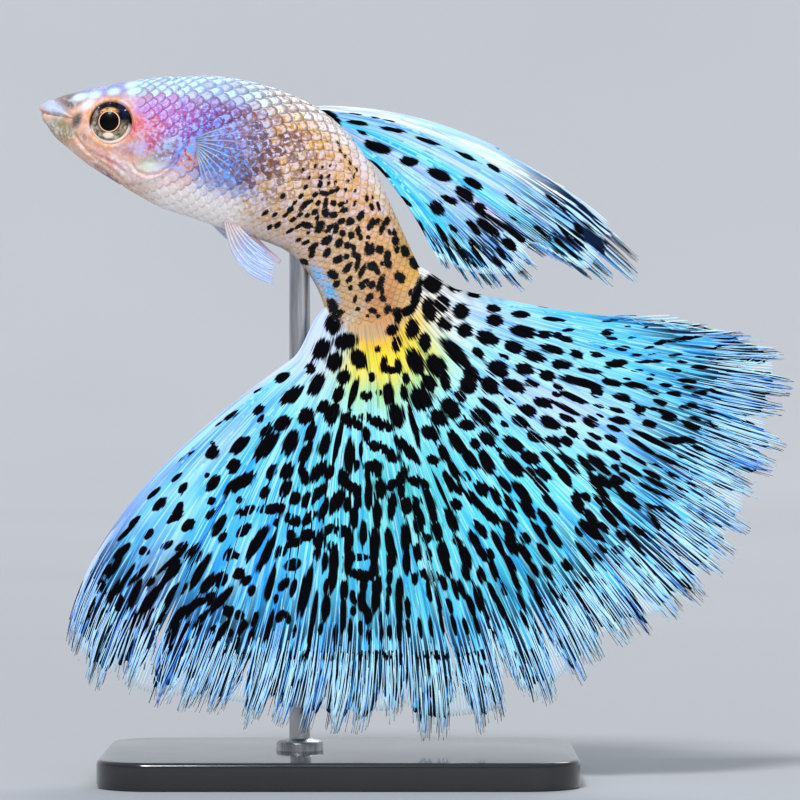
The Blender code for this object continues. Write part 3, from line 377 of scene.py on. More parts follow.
RIGHT_SPOTS = (
    (115, 222, 50, 14, 175), (110, 262, 60, 26, 5), (205, 272, 26, 12, 0), (285, 232, 50, 26, 172),
    (300, 180, 80, 12, 172), (372, 180, 24, 10, 170), (375, 205, 20, 10, 170), (305, 258, 50, 16, 0),
    (272, 298, 30, 10, 0), (352, 300, 50, 22, 175), (455, 208, 20, 10, 165), (395, 252, 40, 10, 170),
    (155, 326, 56, 40, 10), (237, 328, 56, 24, 8), (405, 330, 50, 12, 0), (490, 322, 50, 12, 170),
    (470, 295, 50, 12, 165), (515, 275, 60, 20, 162), (570, 265, 60, 12, 160), (630, 255, 80, 22, 162),
    (560, 222, 40, 10, 162), (700, 240, 110, 14, 162), (740, 215, 70, 12, 160), (90, 372, 85, 28, 5),
    (208, 398, 100, 22, 8), (322, 366, 85, 34, 170), (468, 356, 105, 16, 178), (418, 396, 46, 12, 0),
    (475, 415, 36, 12, 0), (372, 432, 36, 12, 5), (470, 433, 34, 12, 0), (575, 330, 60, 14, 172),
    (612, 356, 44, 18, 175), (575, 395, 60, 14, 8), (690, 382, 80, 18, 5), (690, 336, 50, 12, 172),
    (770, 350, 50, 12, 175), (760, 295, 110, 14, 165), (860, 285, 80, 14, 165), (870, 355, 90, 16, 172),
    (830, 390, 100, 12, 178), (920, 300, 80, 12, 165), (980, 320, 60, 16, 165), (180, 450, 190, 32, 15),
    (240, 490, 50, 44, 20), (302, 448, 76, 32, 8), (408, 460, 100, 28, 12), (538, 460, 50, 16, 5),
    (485, 490, 44, 22, 8), (632, 442, 86, 20, 3), (635, 468, 50, 16, 5), (580, 495, 60, 22, 8),
    (685, 495, 60, 24, 172), (740, 478, 50, 14, 5), (765, 492, 50, 14, 5), (350, 512, 80, 36, 15),
    (140, 515, 120, 26, 22), (250, 550, 44, 18, 15), (325, 568, 60, 22, 15), (515, 535, 60, 26, 15),
    (485, 562, 44, 14, 8), (425, 565, 50, 44, 60), (540, 580, 80, 24, 20), (552, 604, 66, 24, 5),
    (622, 555, 50, 22, 175), (662, 548, 60, 26, 20), (735, 582, 70, 22, 15), (672, 605, 56, 20, 12),
    (650, 635, 90, 30, 22), (750, 632, 70, 30, 15), (470, 628, 64, 34, 15), (338, 612, 90, 28, 15),
    (213, 618, 66, 44, 25), (112, 602, 70, 28, 18), (252, 592, 30, 16, 15), (105, 560, 120, 22, 28),
    (310, 648, 60, 28, 22), (230, 682, 70, 26, 25), (300, 690, 60, 24, 25), (130, 665, 56, 32, 40),
    (110, 702, 50, 38, 30), (220, 720, 80, 30, 30), (480, 695, 180, 22, 27), (430, 720, 130, 26, 35),
    (575, 698, 90, 30, 5), (640, 695, 80, 26, 15), (690, 740, 80, 24, 20), (610, 770, 60, 18, 22),
    (545, 785, 110, 26, 18), (655, 765, 60, 18, 25), (790, 700, 140, 20, 18), (500, 808, 50, 14, 20),
    (310, 758, 66, 34, 35), (370, 755, 60, 16, 30), (420, 785, 90, 16, 30), (245, 800, 130, 40, 42),
    (190, 800, 100, 30, 42), (120, 800, 130, 36, 48), (480, 845, 80, 20, 28), (390, 830, 110, 20, 32),
    (320, 815, 40, 26, 35), (360, 855, 50, 26, 38), (570, 850, 50, 20, 25), (500, 885, 110, 20, 27),
    (450, 900, 70, 20, 30), (620, 815, 60, 16, 24), (660, 895, 80, 18, 28), (600, 905, 60, 16, 28),
    (610, 940, 60, 20, 28), (555, 948, 50, 22, 20), (500, 920, 60, 20, 25), (325, 875, 60, 46, 50),
    (270, 875, 90, 30, 40), (245, 905, 130, 36, 52), (100, 855, 90, 36, 55), (370, 950, 140, 34, 42),
    (390, 930, 50, 16, 35), (470, 985, 70, 20, 30), (520, 995, 60, 20, 30), (190, 942, 50, 32, 50),
    (155, 965, 90, 44, 65), (240, 955, 60, 18, 50), (320, 1010, 150, 26, 48), (290, 1030, 90, 30, 48),
    (215, 1035, 100, 34, 55), (495, 1050, 110, 28, 55), (570, 1035, 70, 26, 28),
    (630, 1000, 60, 22, 28), (690, 970, 40, 22, 30), (740, 1000, 60, 18, 30), (650, 1090, 90, 22, 32),
    (710, 1090, 50, 18, 32), (590, 1105, 30, 20, 30), (565, 1130, 60, 22, 48), (265, 1075, 60, 28, 45),
    (210, 1085, 120, 38, 40), (430, 1095, 90, 38, 32), (400, 1140, 120, 24, 50),
    (340, 1110, 60, 24, 50), (160, 1090, 50, 26, 55), (262, 1165, 50, 28, 40), (325, 1170, 50, 34, 20),
    (240, 1200, 50, 26, 45), (110, 1235, 56, 36, 55), (190, 1195, 130, 24, 55), (330, 1235, 40, 22, 45),
    (400, 1230, 60, 22, 50), (535, 1160, 50, 18, 48), (620, 1180, 60, 16, 40), (190, 1295, 80, 28, 40),
    (160, 1325, 80, 24, 50), (255, 1310, 40, 26, 40), (105, 1330, 40, 22, 55), (90, 1385, 110, 30, 50),
    (170, 1390, 110, 24, 55), (280, 1375, 50, 20, 45), (345, 1390, 50, 18, 50), (100, 1440, 80, 26, 45),
    (280, 1440, 50, 22, 55), (325, 1455, 50, 24, 55),
)
BODY_DRAWING = (-7.2, 50.22), 0.0110
BODY_SPOTS = (
    (580, 632, 45, 30, 130), (625, 665, 40, 28, 130), (530, 640, 50, 30, 110), (525, 685, 50, 30, 110),
    (580, 675, 35, 25, 120), (705, 660, 50, 32, 125), (690, 720, 45, 30, 120), (635, 715, 55, 32, 125),
    (595, 730, 45, 28, 125), (550, 740, 60, 30, 10), (490, 750, 40, 30, 120), (745, 620, 40, 30, 120),
    (755, 725, 45, 25, 120), (830, 775, 70, 34, 85), (868, 768, 40, 22, 70), (862, 828, 60, 40, 75),
    (905, 825, 70, 26, 75), (752, 805, 60, 28, 110), (700, 795, 30, 20, 120), (612, 805, 45, 38, 90),
    (662, 812, 45, 32, 140), (560, 800, 70, 28, 105), (512, 805, 38, 28, 120), (425, 815, 95, 34, 135),
    (465, 795, 40, 20, 150), (685, 850, 60, 36, 160), (560, 870, 60, 48, 80), (612, 885, 60, 40, 160),
    (490, 865, 50, 34, 140), (442, 885, 40, 26, 140), (392, 882, 40, 26, 140), (330, 850, 50, 30, 140),
    (298, 885, 45, 24, 140), (345, 915, 45, 28, 140), (505, 905, 40, 26, 130), (790, 888, 80, 52, 115),
    (870, 930, 60, 60, 110), (905, 920, 50, 28, 90), (845, 965, 45, 30, 100), (720, 925, 60, 48, 130),
    (665, 925, 55, 36, 150), (628, 970, 75, 36, 105), (585, 970, 80, 30, 130), (522, 962, 85, 55, 120),
    (435, 950, 85, 40, 15), (380, 960, 60, 22, 150), (330, 985, 60, 22, 150), (245, 950, 55, 32, 140),
    (195, 962, 40, 28, 140), (165, 870, 50, 28, 140), (228, 882, 45, 22, 150), (280, 760, 45, 30, 130),
    (775, 990, 70, 36, 85), (790, 1030, 40, 30, 90), (728, 1015, 48, 42, 100), (672, 1002, 48, 42, 60),
    (570, 1050, 80, 52, 150), (648, 1070, 70, 48, 110), (705, 1085, 50, 42, 150),
    (745, 1098, 40, 28, 90), (838, 1030, 30, 26, 0), (850, 1110, 80, 70, 120), (915, 1112, 60, 50, 40),
    (835, 1075, 40, 26, 60), (930, 975, 70, 34, 110), (958, 925, 70, 46, 130), (978, 993, 40, 24, 80),
    (1012, 1002, 48, 28, 80), (1020, 1055, 60, 46, 80), (1025, 1110, 45, 34, 90),
    (1080, 1120, 80, 50, 70), (965, 1165, 110, 40, 95), (975, 1205, 60, 40, 80),
    (930, 1200, 30, 24, 90), (870, 1220, 75, 55, 25), (895, 1250, 60, 34, 60), (570, 1130, 65, 42, 125),
    (480, 1090, 80, 34, 145), (385, 1045, 45, 24, 150), (430, 1065, 60, 26, 150),
    (470, 1140, 60, 36, 120), (445, 1000, 30, 20, 150), (642, 1175, 65, 48, 150),
    (697, 1155, 40, 34, 120), (760, 1150, 70, 36, 30), (770, 1200, 100, 30, 105),
    (800, 1250, 100, 32, 115), (702, 1230, 80, 40, 125), (608, 1275, 75, 55, 30),
    (632, 1335, 60, 38, 130), (715, 1305, 60, 30, 135), (722, 1360, 40, 28, 110),
    (798, 1345, 50, 42, 80), (825, 1318, 50, 30, 150), (862, 1340, 55, 46, 150),
    (920, 1330, 110, 42, 110), (930, 1380, 50, 30, 90), (1045, 1290, 75, 60, 45),
    (1140, 1200, 85, 55, 60), (848, 1425, 70, 40, 130), (935, 1430, 45, 42, 30),
    (752, 1435, 60, 24, 105), (772, 1498, 30, 28, 0), (870, 1510, 55, 36, 20), (965, 1500, 60, 40, 110),
    (1025, 1520, 60, 60, 100), (1115, 1390, 50, 24, 110), (640, 1530, 80, 46, 150),
    (420, 1190, 60, 36, 20), (905, 1545, 30, 24, 0), (835, 1545, 26, 22, 0), (640, 410, 50, 26, 60),
    (655, 460, 50, 30, 75), (690, 500, 45, 26, 80), (660, 530, 35, 24, 90), (720, 540, 50, 28, 75),
    (715, 580, 40, 26, 90), (760, 580, 50, 28, 70), (625, 560, 36, 24, 100), (540, 570, 36, 28, 110),
    (495, 560, 40, 24, 110), (590, 560, 36, 22, 110), (740, 640, 50, 26, 110), (430, 700, 40, 24, 125),
    (400, 760, 40, 26, 130), (450, 640, 36, 22, 120), (360, 800, 40, 22, 130), (410, 590, 36, 22, 120),
)

# Colours as the eye sees them, from 0 to 1
INK = (0.015, 0.015, 0.03)
CREAM = (0.95, 0.88, 0.76)
PEACH = (0.91, 0.71, 0.61)
TAN = (0.80, 0.66, 0.50)
GOLD = (0.93, 0.70, 0.27)
ORANGE = (0.94, 0.62, 0.33)
RUST = (0.74, 0.34, 0.16)
BROWN = (0.45, 0.29, 0.22)
MAROON = (0.36, 0.13, 0.18)
CRIMSON = (0.74, 0.22, 0.38)
ROSE = (0.87, 0.48, 0.53)
MAGENTA = (0.72, 0.51, 0.87)
SKY = (0.28, 0.73, 1.0)
AZURE = (0.17, 0.52, 0.96)
AQUA = (0.26, 0.83, 0.96)
ICE = (0.62, 0.94, 0.97)
TEAL = (0.25, 0.74, 0.72)
LAVENDER = (0.76, 0.78, 0.98)
INDIGO = (0.36, 0.42, 0.92)
YELLOW = (0.98, 0.86, 0.24)
LIME = (0.70, 0.84, 0.38)
OLIVE = (0.62, 0.56, 0.40)
SMOKE = (0.30, 0.30, 0.29)
PEARL = (0.92, 0.94, 1.00)
LILAC = (0.84, 0.76, 0.88)


def through(knots, at):
    """Smooth curve through knots ((t, value, ...), ...), read at the places in at."""
    table = np.array(knots, float)
    t = table[:, 0]
    value = table[:, 1:]
    slope = np.gradient(value, t, axis=0)
    at = np.clip(np.asarray(at, float), t[0], t[-1])
    i = np.clip(np.searchsorted(t, at, side="right") - 1, 0, len(t) - 2)
    span = (t[i + 1] - t[i])[..., None]
    x = (at[..., None] - t[i][..., None]) / span
    result = ((1 + 2 * x) * (1 - x) ** 2 * value[i] + x * (1 - x) ** 2 * span * slope[i]
              + x * x * (3 - 2 * x) * value[i + 1] + x * x * (x - 1) * span * slope[i + 1])
    return result[..., 0] if result.shape[-1] == 1 else result


STEPS = np.hypot(np.diff(STATIONS[:, 0]), np.diff(STATIONS[:, 1]))
ALONG = np.concatenate(((0.0,), np.cumsum(STEPS)))
BODY = np.column_stack((ALONG, STATIONS))


def unit(vectors):
    return vectors / np.linalg.norm(vectors, axis=-1, keepdims=True)


def bell(distance, width):
    return np.exp(-(distance / width) ** 2)


def rise(value, low, high):
    """0 below low and 1 above high, smooth between them; high may be the lower one."""
    x = np.clip((value - low) / (high - low), 0, 1)
    return x * x * (3 - 2 * x)


def spine(s):
    row = through(BODY, s)
    share = np.clip((s - SWING_FROM) / (SWING_TO - SWING_FROM), 0, None)
    return np.stack((row[..., 0], -SWING * share ** SWING_POWER, row[..., 1]), axis=-1)


def spine_frame(s):
    """Directions along the spine, up to the back, and out to the fish's left."""
    ahead = unit(spine(s + SPINE_STEP) - spine(s - SPINE_STEP))
    up = unit(np.stack((-ahead[..., 2], np.zeros_like(s), ahead[..., 0]), axis=-1))
    return ahead, up, np.cross(ahead, up)


def distance_to_line(x, z, line):
    best = np.full(np.shape(x), 1e9)
    for (x0, z0), (x1, z1) in zip(line[:-1], line[1:]):
        share = ((x - x0) * (x1 - x0) + (z - z0) * (z1 - z0)) / ((x1 - x0) ** 2 + (z1 - z0) ** 2)
        share = np.clip(share, 0, 1)
        best = np.minimum(best, np.hypot(x - x0 - share * (x1 - x0), z - z0 - share * (z1 - z0)))
    return best


def side_view(points):
    """Places on the side view, drawn out from its middle as the near side is seen."""
    near = VIEW_DISTANCE / (VIEW_DISTANCE - np.abs(points[..., 1]))
    return (VIEW_CENTRE[0] + (points[..., 0] - VIEW_CENTRE[0]) * near,
            VIEW_CENTRE[1] + (points[..., 2] - VIEW_CENTRE[1]) * near)


def gill_cut(phi):
    return through(GILL_EDGE, np.cos(phi))


def tail_cut(phi):
    return TAIL_END + TAIL_BULGE * np.sin(phi) ** 2


def head_relief(points, s, phi):
    """How far the head's skin stands out or in."""
    x, z = side_view(points)
    mouth = distance_to_line(x, z, MOUTH_LINE)
    near_tip = bell(x - MOUTH_LINE[0][0], 2.2)
    lips = 0.13 * bell(mouth - 0.38, 0.26) * near_tip - 0.28 * bell(mouth, 0.12)
    tip = np.hypot(x - LIP_TIP[0], z - LIP_TIP[1])
    lips += 0.12 * bell(tip, 0.4) - 0.12 * bell(distance_to_line(x, z, LIP_LINE), 0.13)
    hole = np.hypot(x - NOSTRIL[0], z - NOSTRIL[1])
    nostril = 0.05 * bell(hole - 0.27, 0.1) - 0.24 * bell(hole, 0.15)
    eye = np.hypot(points[..., 0] - EYE_CENTRE[0], points[..., 2] - EYE_CENTRE[1])
    orbit = 0.08 * bell(eye - EYE_RADIUS - 0.2, 0.17)
    orbit -= 0.74 * rise(eye, EYE_RADIUS + 0.09, EYE_RADIUS - 0.07)
    behind = s - gill_cut(phi)
    cover = 0.11 * bell(s - 9.3, 1.6) * rise(behind, 0.05, -0.05) - 0.09 * bell(behind - 0.12, 0.12)
    jaw = distance_to_line(x, z, JAW_FOLD)
    line = distance_to_line(x, z, JAW_LINE)
    cheek = distance_to_line(x, z, CHEEK_FOLD)
    folds = -0.09 * bell(jaw, 0.11) - 0.08 * bell(line, 0.1) + 0.04 * bell(line - 0.25, 0.14)
    folds += 0.05 * bell(cheek - 0.22, 0.12) - 0.10 * bell(cheek, 0.09)
    return lips + nostril + orbit + cover + folds


def flesh(s, phi, proud=0.0):
    """Point of the skin and the direction out of it: phi is 0 on the back."""
    s = np.asarray(s, float) + 0 * phi
    row = through(BODY, s)
    _, up, left = spine_frame(s)
    share = np.clip(s / ALONG[-1], 0, 1)
    power = HEAD_SQUARENESS + (TAIL_SQUARENESS - HEAD_SQUARENESS) * share
    to_edge = np.clip((tail_cut(phi) - s) / TAIL_TAPER, 0, 1)
    width = row[..., 4] * (0.02 + 0.98 * to_edge ** 0.75)
    high = np.where(np.cos(phi) > 0, row[..., 2], row[..., 3]) * np.cos(phi)
    wide = width * np.sign(np.sin(phi)) * np.abs(np.sin(phi)) ** power
    point = spine(s) + up * high[..., None] + left * wide[..., None]
    out = unit(up * (np.cos(phi) * row[..., 4])[..., None] + left * (np.sin(phi) * row[..., 2])[..., None]
               + up * 1e-9)
    relief = np.where(s < HEAD_END, head_relief(point, s, phi), 0.0)
    return point + out * (relief + proud)[..., None], out


def curved_ray(root, start, finish, tip, v):
    """Smooth ray from root to tip with its first and last directions as unit vectors."""
    length = np.linalg.norm(tip - root, axis=-1, keepdims=True)
    v = np.asarray(v)[..., None]
    return ((1 + 2 * v) * (1 - v) ** 2 * root + v * (1 - v) ** 2 * length * start
            + v * v * (3 - 2 * v) * tip + v * v * (v - 1) * length * finish)


def down_from_x(degrees):
    angle = np.radians(degrees)
    return np.stack((np.cos(angle), -np.sin(angle)), axis=-1)


def fan_angle(u):
    return FAN_TIP_ANGLES[0] + (FAN_TIP_ANGLES[1] - FAN_TIP_ANGLES[0]) * u


def tail_fin_point(u, v):
    """Middle surface of the tail fin: u is 0 on its lower left ray and 1 on its upper ray."""
    phi = np.arccos(np.clip(2 * u - 1, -1, 1))
    s = tail_cut(phi) - FAN_SUNK * rise(v, 0.12, 0.0)
    _, up, _ = spine_frame(s)
    row = through(BODY, s)
    high = np.where(u > 0.5, row[..., 2], row[..., 3]) * (2 * u - 1) * (1 - 0.03 * rise(v, 0.1, 0.0))
    root = spine(s) + up * high[..., None]
    angle = fan_angle(u)
    reach = through(FAN_REACH, angle)
    for place, depth, width in FAN_NOTCHES:
        reach = reach - depth * bell(angle - place, width)
    tip = np.array(FAN_CENTRE) + down_from_x(angle) * reach[..., None]
    side = curved_ray(root[..., (0, 2)], down_from_x(through(FAN_START, u)),
                      down_from_x(through(FAN_FINISH, u)), tip, v)
    out = v * np.linalg.norm(tip - root[..., (0, 2)], axis=-1)
    facing = np.cos(np.radians(through(FAN_START, u) - FAN_LEAN_ANGLE))
    facing = np.clip(facing, 0, 1) ** FAN_LEAN_POWER
    lean = FAN_LEAN * FAN_LEAN_LENGTH * (1 - np.exp(-out / FAN_LEAN_LENGTH)) * facing
    pleat = FAN_PLEAT_DEPTH * v ** FAN_PLEAT_POWER * np.sin(TAU * FAN_PLEATS * u + FAN_PLEAT_PHASE)
    return np.stack((side[..., 0], root[..., 1] - lean + pleat, side[..., 1]), axis=-1)


def dorsal_fin_point(u, v):
    """Middle surface of the dorsal fin: u is 0 on its front ray and 1 on its rear ray."""
    s = DORSAL_FOOT[0] + (DORSAL_FOOT[1] - DORSAL_FOOT[0]) * u
    root = flesh(s, 0 * u, proud=-0.25)[0]
    bend = through(DORSAL_BENDS, u)
    tip = through(DORSAL_TIPS, u)
    w = np.asarray(v)[..., None]
    side = (1 - w) ** 2 * root[..., (0, 2)] + 2 * w * (1 - w) * bend + w * w * tip
    lean = (DORSAL_LEAN[0] + (DORSAL_LEAN[1] - DORSAL_LEAN[0]) * u ** 0.5) * v ** 1.1
    wave = DORSAL_WAVE_DEPTH * v ** 2 * np.sin(TAU * DORSAL_WAVES * u + 1.0) * (1 - u)
    return np.stack((side[..., 0], root[..., 1] - lean + wave, side[..., 1]), axis=-1)


def pectoral_fin_point(side):
    """Middle surface of one pectoral fin: side is 1 for the left, -1 for the right."""
    def point(u, v):
        (s0, h0), (s1, h1) = PECTORAL_FOOT
        angle = np.radians(PECTORAL_ANGLES[0] + (PECTORAL_ANGLES[1] - PECTORAL_ANGLES[0]) * u)
        out = through(PECTORAL_LENGTHS, u) * v
        s = s0 + (s1 - s0) * u + out * np.cos(angle)
        high = h0 + (h1 - h0) * u + out * np.sin(angle)
        row = through(BODY, s)
        phi = np.arccos(np.clip(high / np.where(high > 0, row[..., 2], row[..., 3]), -1, 1))
        lift = PECTORAL_RISE * (1 - np.exp(-out / PECTORAL_RISE))
        return flesh(s, side * phi, proud=lift + PECTORAL_SPLAY * out - 0.1 + 0.35 * rise(v, 0.0, 0.2))[0]
    return point


def pelvic_fin_point(side, foot, tips, bow_depth):
    """Middle surface of one pelvic fin, below the belly beside its midline."""
    def point(u, v):
        s = foot[0] + (foot[1] - foot[0]) * u
        root = flesh(s, math.pi - side * PELVIC_TURN + 0 * u, proud=-0.15)[0]
        tip = through(tips, u)
        w = np.asarray(v)[..., None]
        flat = root[..., (0, 2)] + (tip - root[..., (0, 2)]) * w
        bow = bow_depth * np.sin(math.pi * v) * (1 - u)
        aside = root[..., 1] - side * PELVIC_SPLAY * v
        return np.stack((flat[..., 0] - bow, aside, flat[..., 1] - bow), axis=-1)
    return point


def linear(colour):
    """Display colours as light."""
    colour = np.asarray(colour, float)
    return np.where(colour <= 0.04045, colour / 12.92, ((colour + 0.055) / 1.055) ** 2.4)


def new_piece(name, points, faces, material, corners=None, maps=None, points_data=None):
    """Mesh object from arrays. maps are UV maps given for each of the places that corners names;
    points_data are named values, directions or colours for each point."""
    mesh = bpy.data.meshes.new(name)
    faces = [np.asarray(f, np.int32) for f in faces if len(f)]
    index = np.concatenate([f.ravel() for f in faces])
    sizes = np.concatenate([np.full(len(f), f.shape[1], np.int32) for f in faces])
    mesh.vertices.add(len(points))
    mesh.vertices.foreach_set("co", (np.asarray(points, float) * MM).astype(np.float32).ravel())
    mesh.loops.add(len(index))
    mesh.loops.foreach_set("vertex_index", index)
    mesh.polygons.add(len(sizes))
    mesh.polygons.foreach_set("loop_start", np.concatenate(((0,), np.cumsum(sizes)[:-1])).astype(np.int32))
    mesh.update(calc_edges=True)
    where = index if corners is None else np.concatenate([np.asarray(c).ravel() for c in corners if len(c)])
    for map_name, places in (maps or {}).items():
        layer = mesh.uv_layers.new(name=map_name)
        layer.uv.foreach_set("vector", np.asarray(places, float)[where].astype(np.float32).ravel())
    for data_name, values in (points_data or {}).items():
        values = np.asarray(values, float)
        kind, key = ("FLOAT", "value") if values.ndim == 1 else ("FLOAT_VECTOR", "vector")
        attribute = mesh.attributes.new(data_name, kind, "POINT")
        attribute.data.foreach_set(key, values.astype(np.float32).ravel())
    mesh.validate()
    mesh.shade_smooth()
    piece = bpy.data.objects.new(name, mesh)
    bpy.context.scene.collection.objects.link(piece)
    mesh.materials.append(material)
    return piece


class Graph:
    """A material's nodes, added one call at a time."""

    def __init__(self, name):
        self.material = bpy.data.materials.new(name)
        self.material.use_nodes = True
        self.tree = self.material.node_tree
        self.shader = self.tree.nodes["Principled BSDF"]

    def put(self, socket, value):
        if isinstance(value, bpy.types.NodeSocket):
            self.tree.links.new(value, socket)
        elif hasattr(socket.default_value, "__len__") and hasattr(value, "__len__"):
            size = len(socket.default_value)
            socket.default_value = (*value, 1.0)[:size]
        else:
            socket.default_value = value

    def node(self, kind, settings=None, **inputs):
        node = self.tree.nodes.new("ShaderNode" + kind)
        for key, value in (settings or {}).items():
            setattr(node, key, value)
        for key, value in inputs.items():
            self.put(node.inputs[key.replace("_", " ")], value)
        return node

    def math(self, operation, *values):
        node = self.tree.nodes.new("ShaderNodeMath")
        node.operation = operation
        for socket, value in zip(node.inputs, values):
            self.put(socket, value)
        return node.outputs[0]

    def product(self, first, *others):
        for other in others:
            first = self.math("MULTIPLY", first, other)
        return first

    def total(self, first, *others):
        for other in others:
            first = self.math("ADD", first, other)
        return first

    def less(self, value, taken):
        return self.math("SUBTRACT", value, taken)

    def swing(self, noise, size):
        """A noise as a swing about 0."""
        return self.product(self.less(noise, 0.5), size)

    def vector(self, operation, *values):
        node = self.tree.nodes.new("ShaderNodeVectorMath")
        node.operation = operation
        for socket, value in zip(node.inputs, values):
            self.put(socket, value)
        return node.outputs["Value" if operation in ("LENGTH", "DOT_PRODUCT") else "Vector"]

    def scaled(self, vector, x, y, z=1.0):
        return self.vector("MULTIPLY", vector, (x, y, z))

    def times(self, vector, factor):
        node = self.tree.nodes.new("ShaderNodeVectorMath")
        node.operation = "SCALE"
        self.put(node.inputs["Vector"], vector)
        self.put(node.inputs["Scale"], factor)
        return node.outputs["Vector"]

    def step(self, value, low, high, top=1.0):
        """0 below low and top above high, smooth between them."""
        node = self.node("MapRange", {"interpolation_type": "SMOOTHSTEP"})
        for key, given in (("Value", value), ("From Min", low), ("From Max", high), ("To Max", top)):
            self.put(node.inputs[key], given)
        return node.outputs[0]

    def mix(self, share, a, b, blend="MIX"):
        node = self.node("Mix", {"data_type": "RGBA", "blend_type": blend})
        self.put(node.inputs[0], share)
        self.put(node.inputs[6], a if isinstance(a, bpy.types.NodeSocket) else tuple(linear(a)))
        self.put(node.inputs[7], b if isinstance(b, bpy.types.NodeSocket) else tuple(linear(b)))
        return node.outputs[2]

    def uv(self, name):
        return self.node("UVMap", {"uv_map": name}).outputs[0]

    def data(self, name, output="Vector"):
        return self.node("Attribute", {"attribute_name": name}).outputs[output]

    def parts(self, vector):
        return self.node("SeparateXYZ", Vector=vector).outputs

    def noise(self, vector, scale, detail=2.0, flat=True, **inputs):
        node = self.node("TexNoise", {"noise_dimensions": "2D" if flat else "3D"}, Vector=vector,
                         Scale=scale, Detail=detail, **inputs)
        return node.outputs["Fac"]

    def voronoi(self, vector, scale, randomness=1.0, feature="F1", flat=True):
        return self.node("TexVoronoi", {"voronoi_dimensions": "2D" if flat else "3D", "feature": feature},
                         Vector=vector, Scale=scale, Randomness=randomness)

    def bump(self, height, distance, strength=1.0):
        node = self.node("Bump", Height=height, Strength=strength, Distance=distance * MM)
        self.put(self.shader.inputs["Normal"], node.outputs[0])

    def finish(self, colour, roughness, **inputs):
        self.put(self.shader.inputs["Base Color"],
                 colour if isinstance(colour, bpy.types.NodeSocket) else tuple(linear(colour)))
        self.put(self.shader.inputs["Roughness"], roughness)
        for key, value in inputs.items():
            self.put(self.shader.inputs[key.replace("_", " ")], value)
        return self.material


def layered(base, *layers):
    """Paints layers (share, colour) over a base colour, at every point."""
    colour = np.broadcast_to(linear(base), np.shape(layers[0][0]) + (3,)).copy()
    for share, paint in layers:
        share = np.clip(share, 0, 1)[..., None]
        colour = colour * (1 - share) + linear(paint) * share
    return colour


def patch(x, z, centre, size, turn=0.0, power=2.0):
    """Soft oval on the side view, turned up from +X by degrees."""
    angle = math.radians(turn)
    dx = x - centre[0]
    dz = z - centre[1]
    a = (dx * math.cos(angle) + dz * math.sin(angle)) / size[0]
    b = (dz * math.cos(angle) - dx * math.sin(angle)) / size[1]
    return np.exp(-np.hypot(a, b) ** power)


def leopard(box, sizes, recipe, seed):
    """Spots grown from noise on the side view, read with the function that it returns: black above 0.

    recipe gives for every place the way the spots lie, their row in sizes and a lean to black.
    """
    low, high = box
    x = np.arange(low[0], high[0], SPOT_STEP)
    z = np.arange(low[1], high[1], SPOT_STEP)
    grid_x, grid_z = np.meshgrid(x, z, indexing="ij")
    lie, size, lean = recipe(grid_x, grid_z)
    wave_x = np.fft.fftfreq(len(x), SPOT_STEP)[:, None] * TAU
    wave_z = np.fft.rfftfreq(len(z), SPOT_STEP)[None] * TAU
    place = (lie / math.pi * SPOT_TURNS) % SPOT_TURNS
    bands = []
    for number, (pitch, stretch, order) in enumerate(sizes):
        for turn in range(SPOT_TURNS):
            off = np.abs(place - turn)
            off = np.minimum(off, SPOT_TURNS - off)
            share = np.clip(1 - off, 0, 1) * np.clip(1 - np.abs(size - number), 0, 1)
            if not share.any():
                continue
            angle = turn * math.pi / SPOT_TURNS
            along = (wave_x * math.cos(angle) + wave_z * math.sin(angle)) * stretch
            across = wave_z * math.cos(angle) - wave_x * math.sin(angle)
            whole = along ** 2 + across ** 2 + 1e-9
            power = whole * (SPOT_CORE * pitch) ** 2 / 2
            band = (np.exp(-power) - np.exp(-SPOT_SURROUND * power)) * (1 - order * along ** 2 / whole)
            bands.append((share, band))
    rng = np.random.default_rng(seed)
    for width, strength in SPOT_UNEVEN:
        blur = np.exp(-(wave_x ** 2 + wave_z ** 2) * width ** 2)
        uneven = np.fft.irfft2(np.fft.rfft2(rng.standard_normal(grid_x.shape)) * blur, grid_x.shape)
        lean = lean + strength * uneven / uneven.std()
    field = rng.standard_normal(grid_x.shape)
    for _ in range(SPOT_ROUNDS):
        waves = np.fft.rfft2(np.tanh(field))
        grown = sum(share * np.fft.irfft2(waves * band, field.shape) for share, band in bands)
        field = lean + SPOT_GAIN * grown

    def read(at_x, at_z):
        a = np.clip((at_x - low[0]) / SPOT_STEP, 0, len(x) - 1.001)
        b = np.clip((at_z - low[1]) / SPOT_STEP, 0, len(z) - 1.001)
        i = a.astype(int)
        j = b.astype(int)
        a = a - i
        b = b - j
        return ((field[i, j] * (1 - a) + field[i + 1, j] * a) * (1 - b)
                + (field[i, j + 1] * (1 - a) + field[i + 1, j + 1] * a) * b)
    return read


def drawn(drawing, spots):
    """Spots of a drawing as places on the side view."""
    (left, top), unit = drawing
    return [(left + x * unit, top - y * unit, long * unit, wide * unit, turn)
            for x, y, long, wide, turn in spots]


def laid_spots(places, x, z):
    """Spots laid out singly: black above 0."""
    black = np.full(np.shape(x), -3.0)
    for middle_x, middle_z, long, wide, turn in places:
        angle = math.radians(turn)
        a = (x - middle_x) * math.cos(angle) - (z - middle_z) * math.sin(angle)
        b = (x - middle_x) * math.sin(angle) + (z - middle_z) * math.cos(angle)
        black = np.maximum(black, SPOT_EDGE * (SPOT_REACH - np.hypot(2 * a / long, 2 * b / wide)))
    return black


def about_fan(x, z):
    """Distance from the middle of the tail fin's root and degrees down from +X."""
    dx = x - FAN_CENTRE[0]
    dz = z - FAN_CENTRE[1]
    return np.hypot(dx, dz), np.degrees(np.arctan2(-dz, dx))


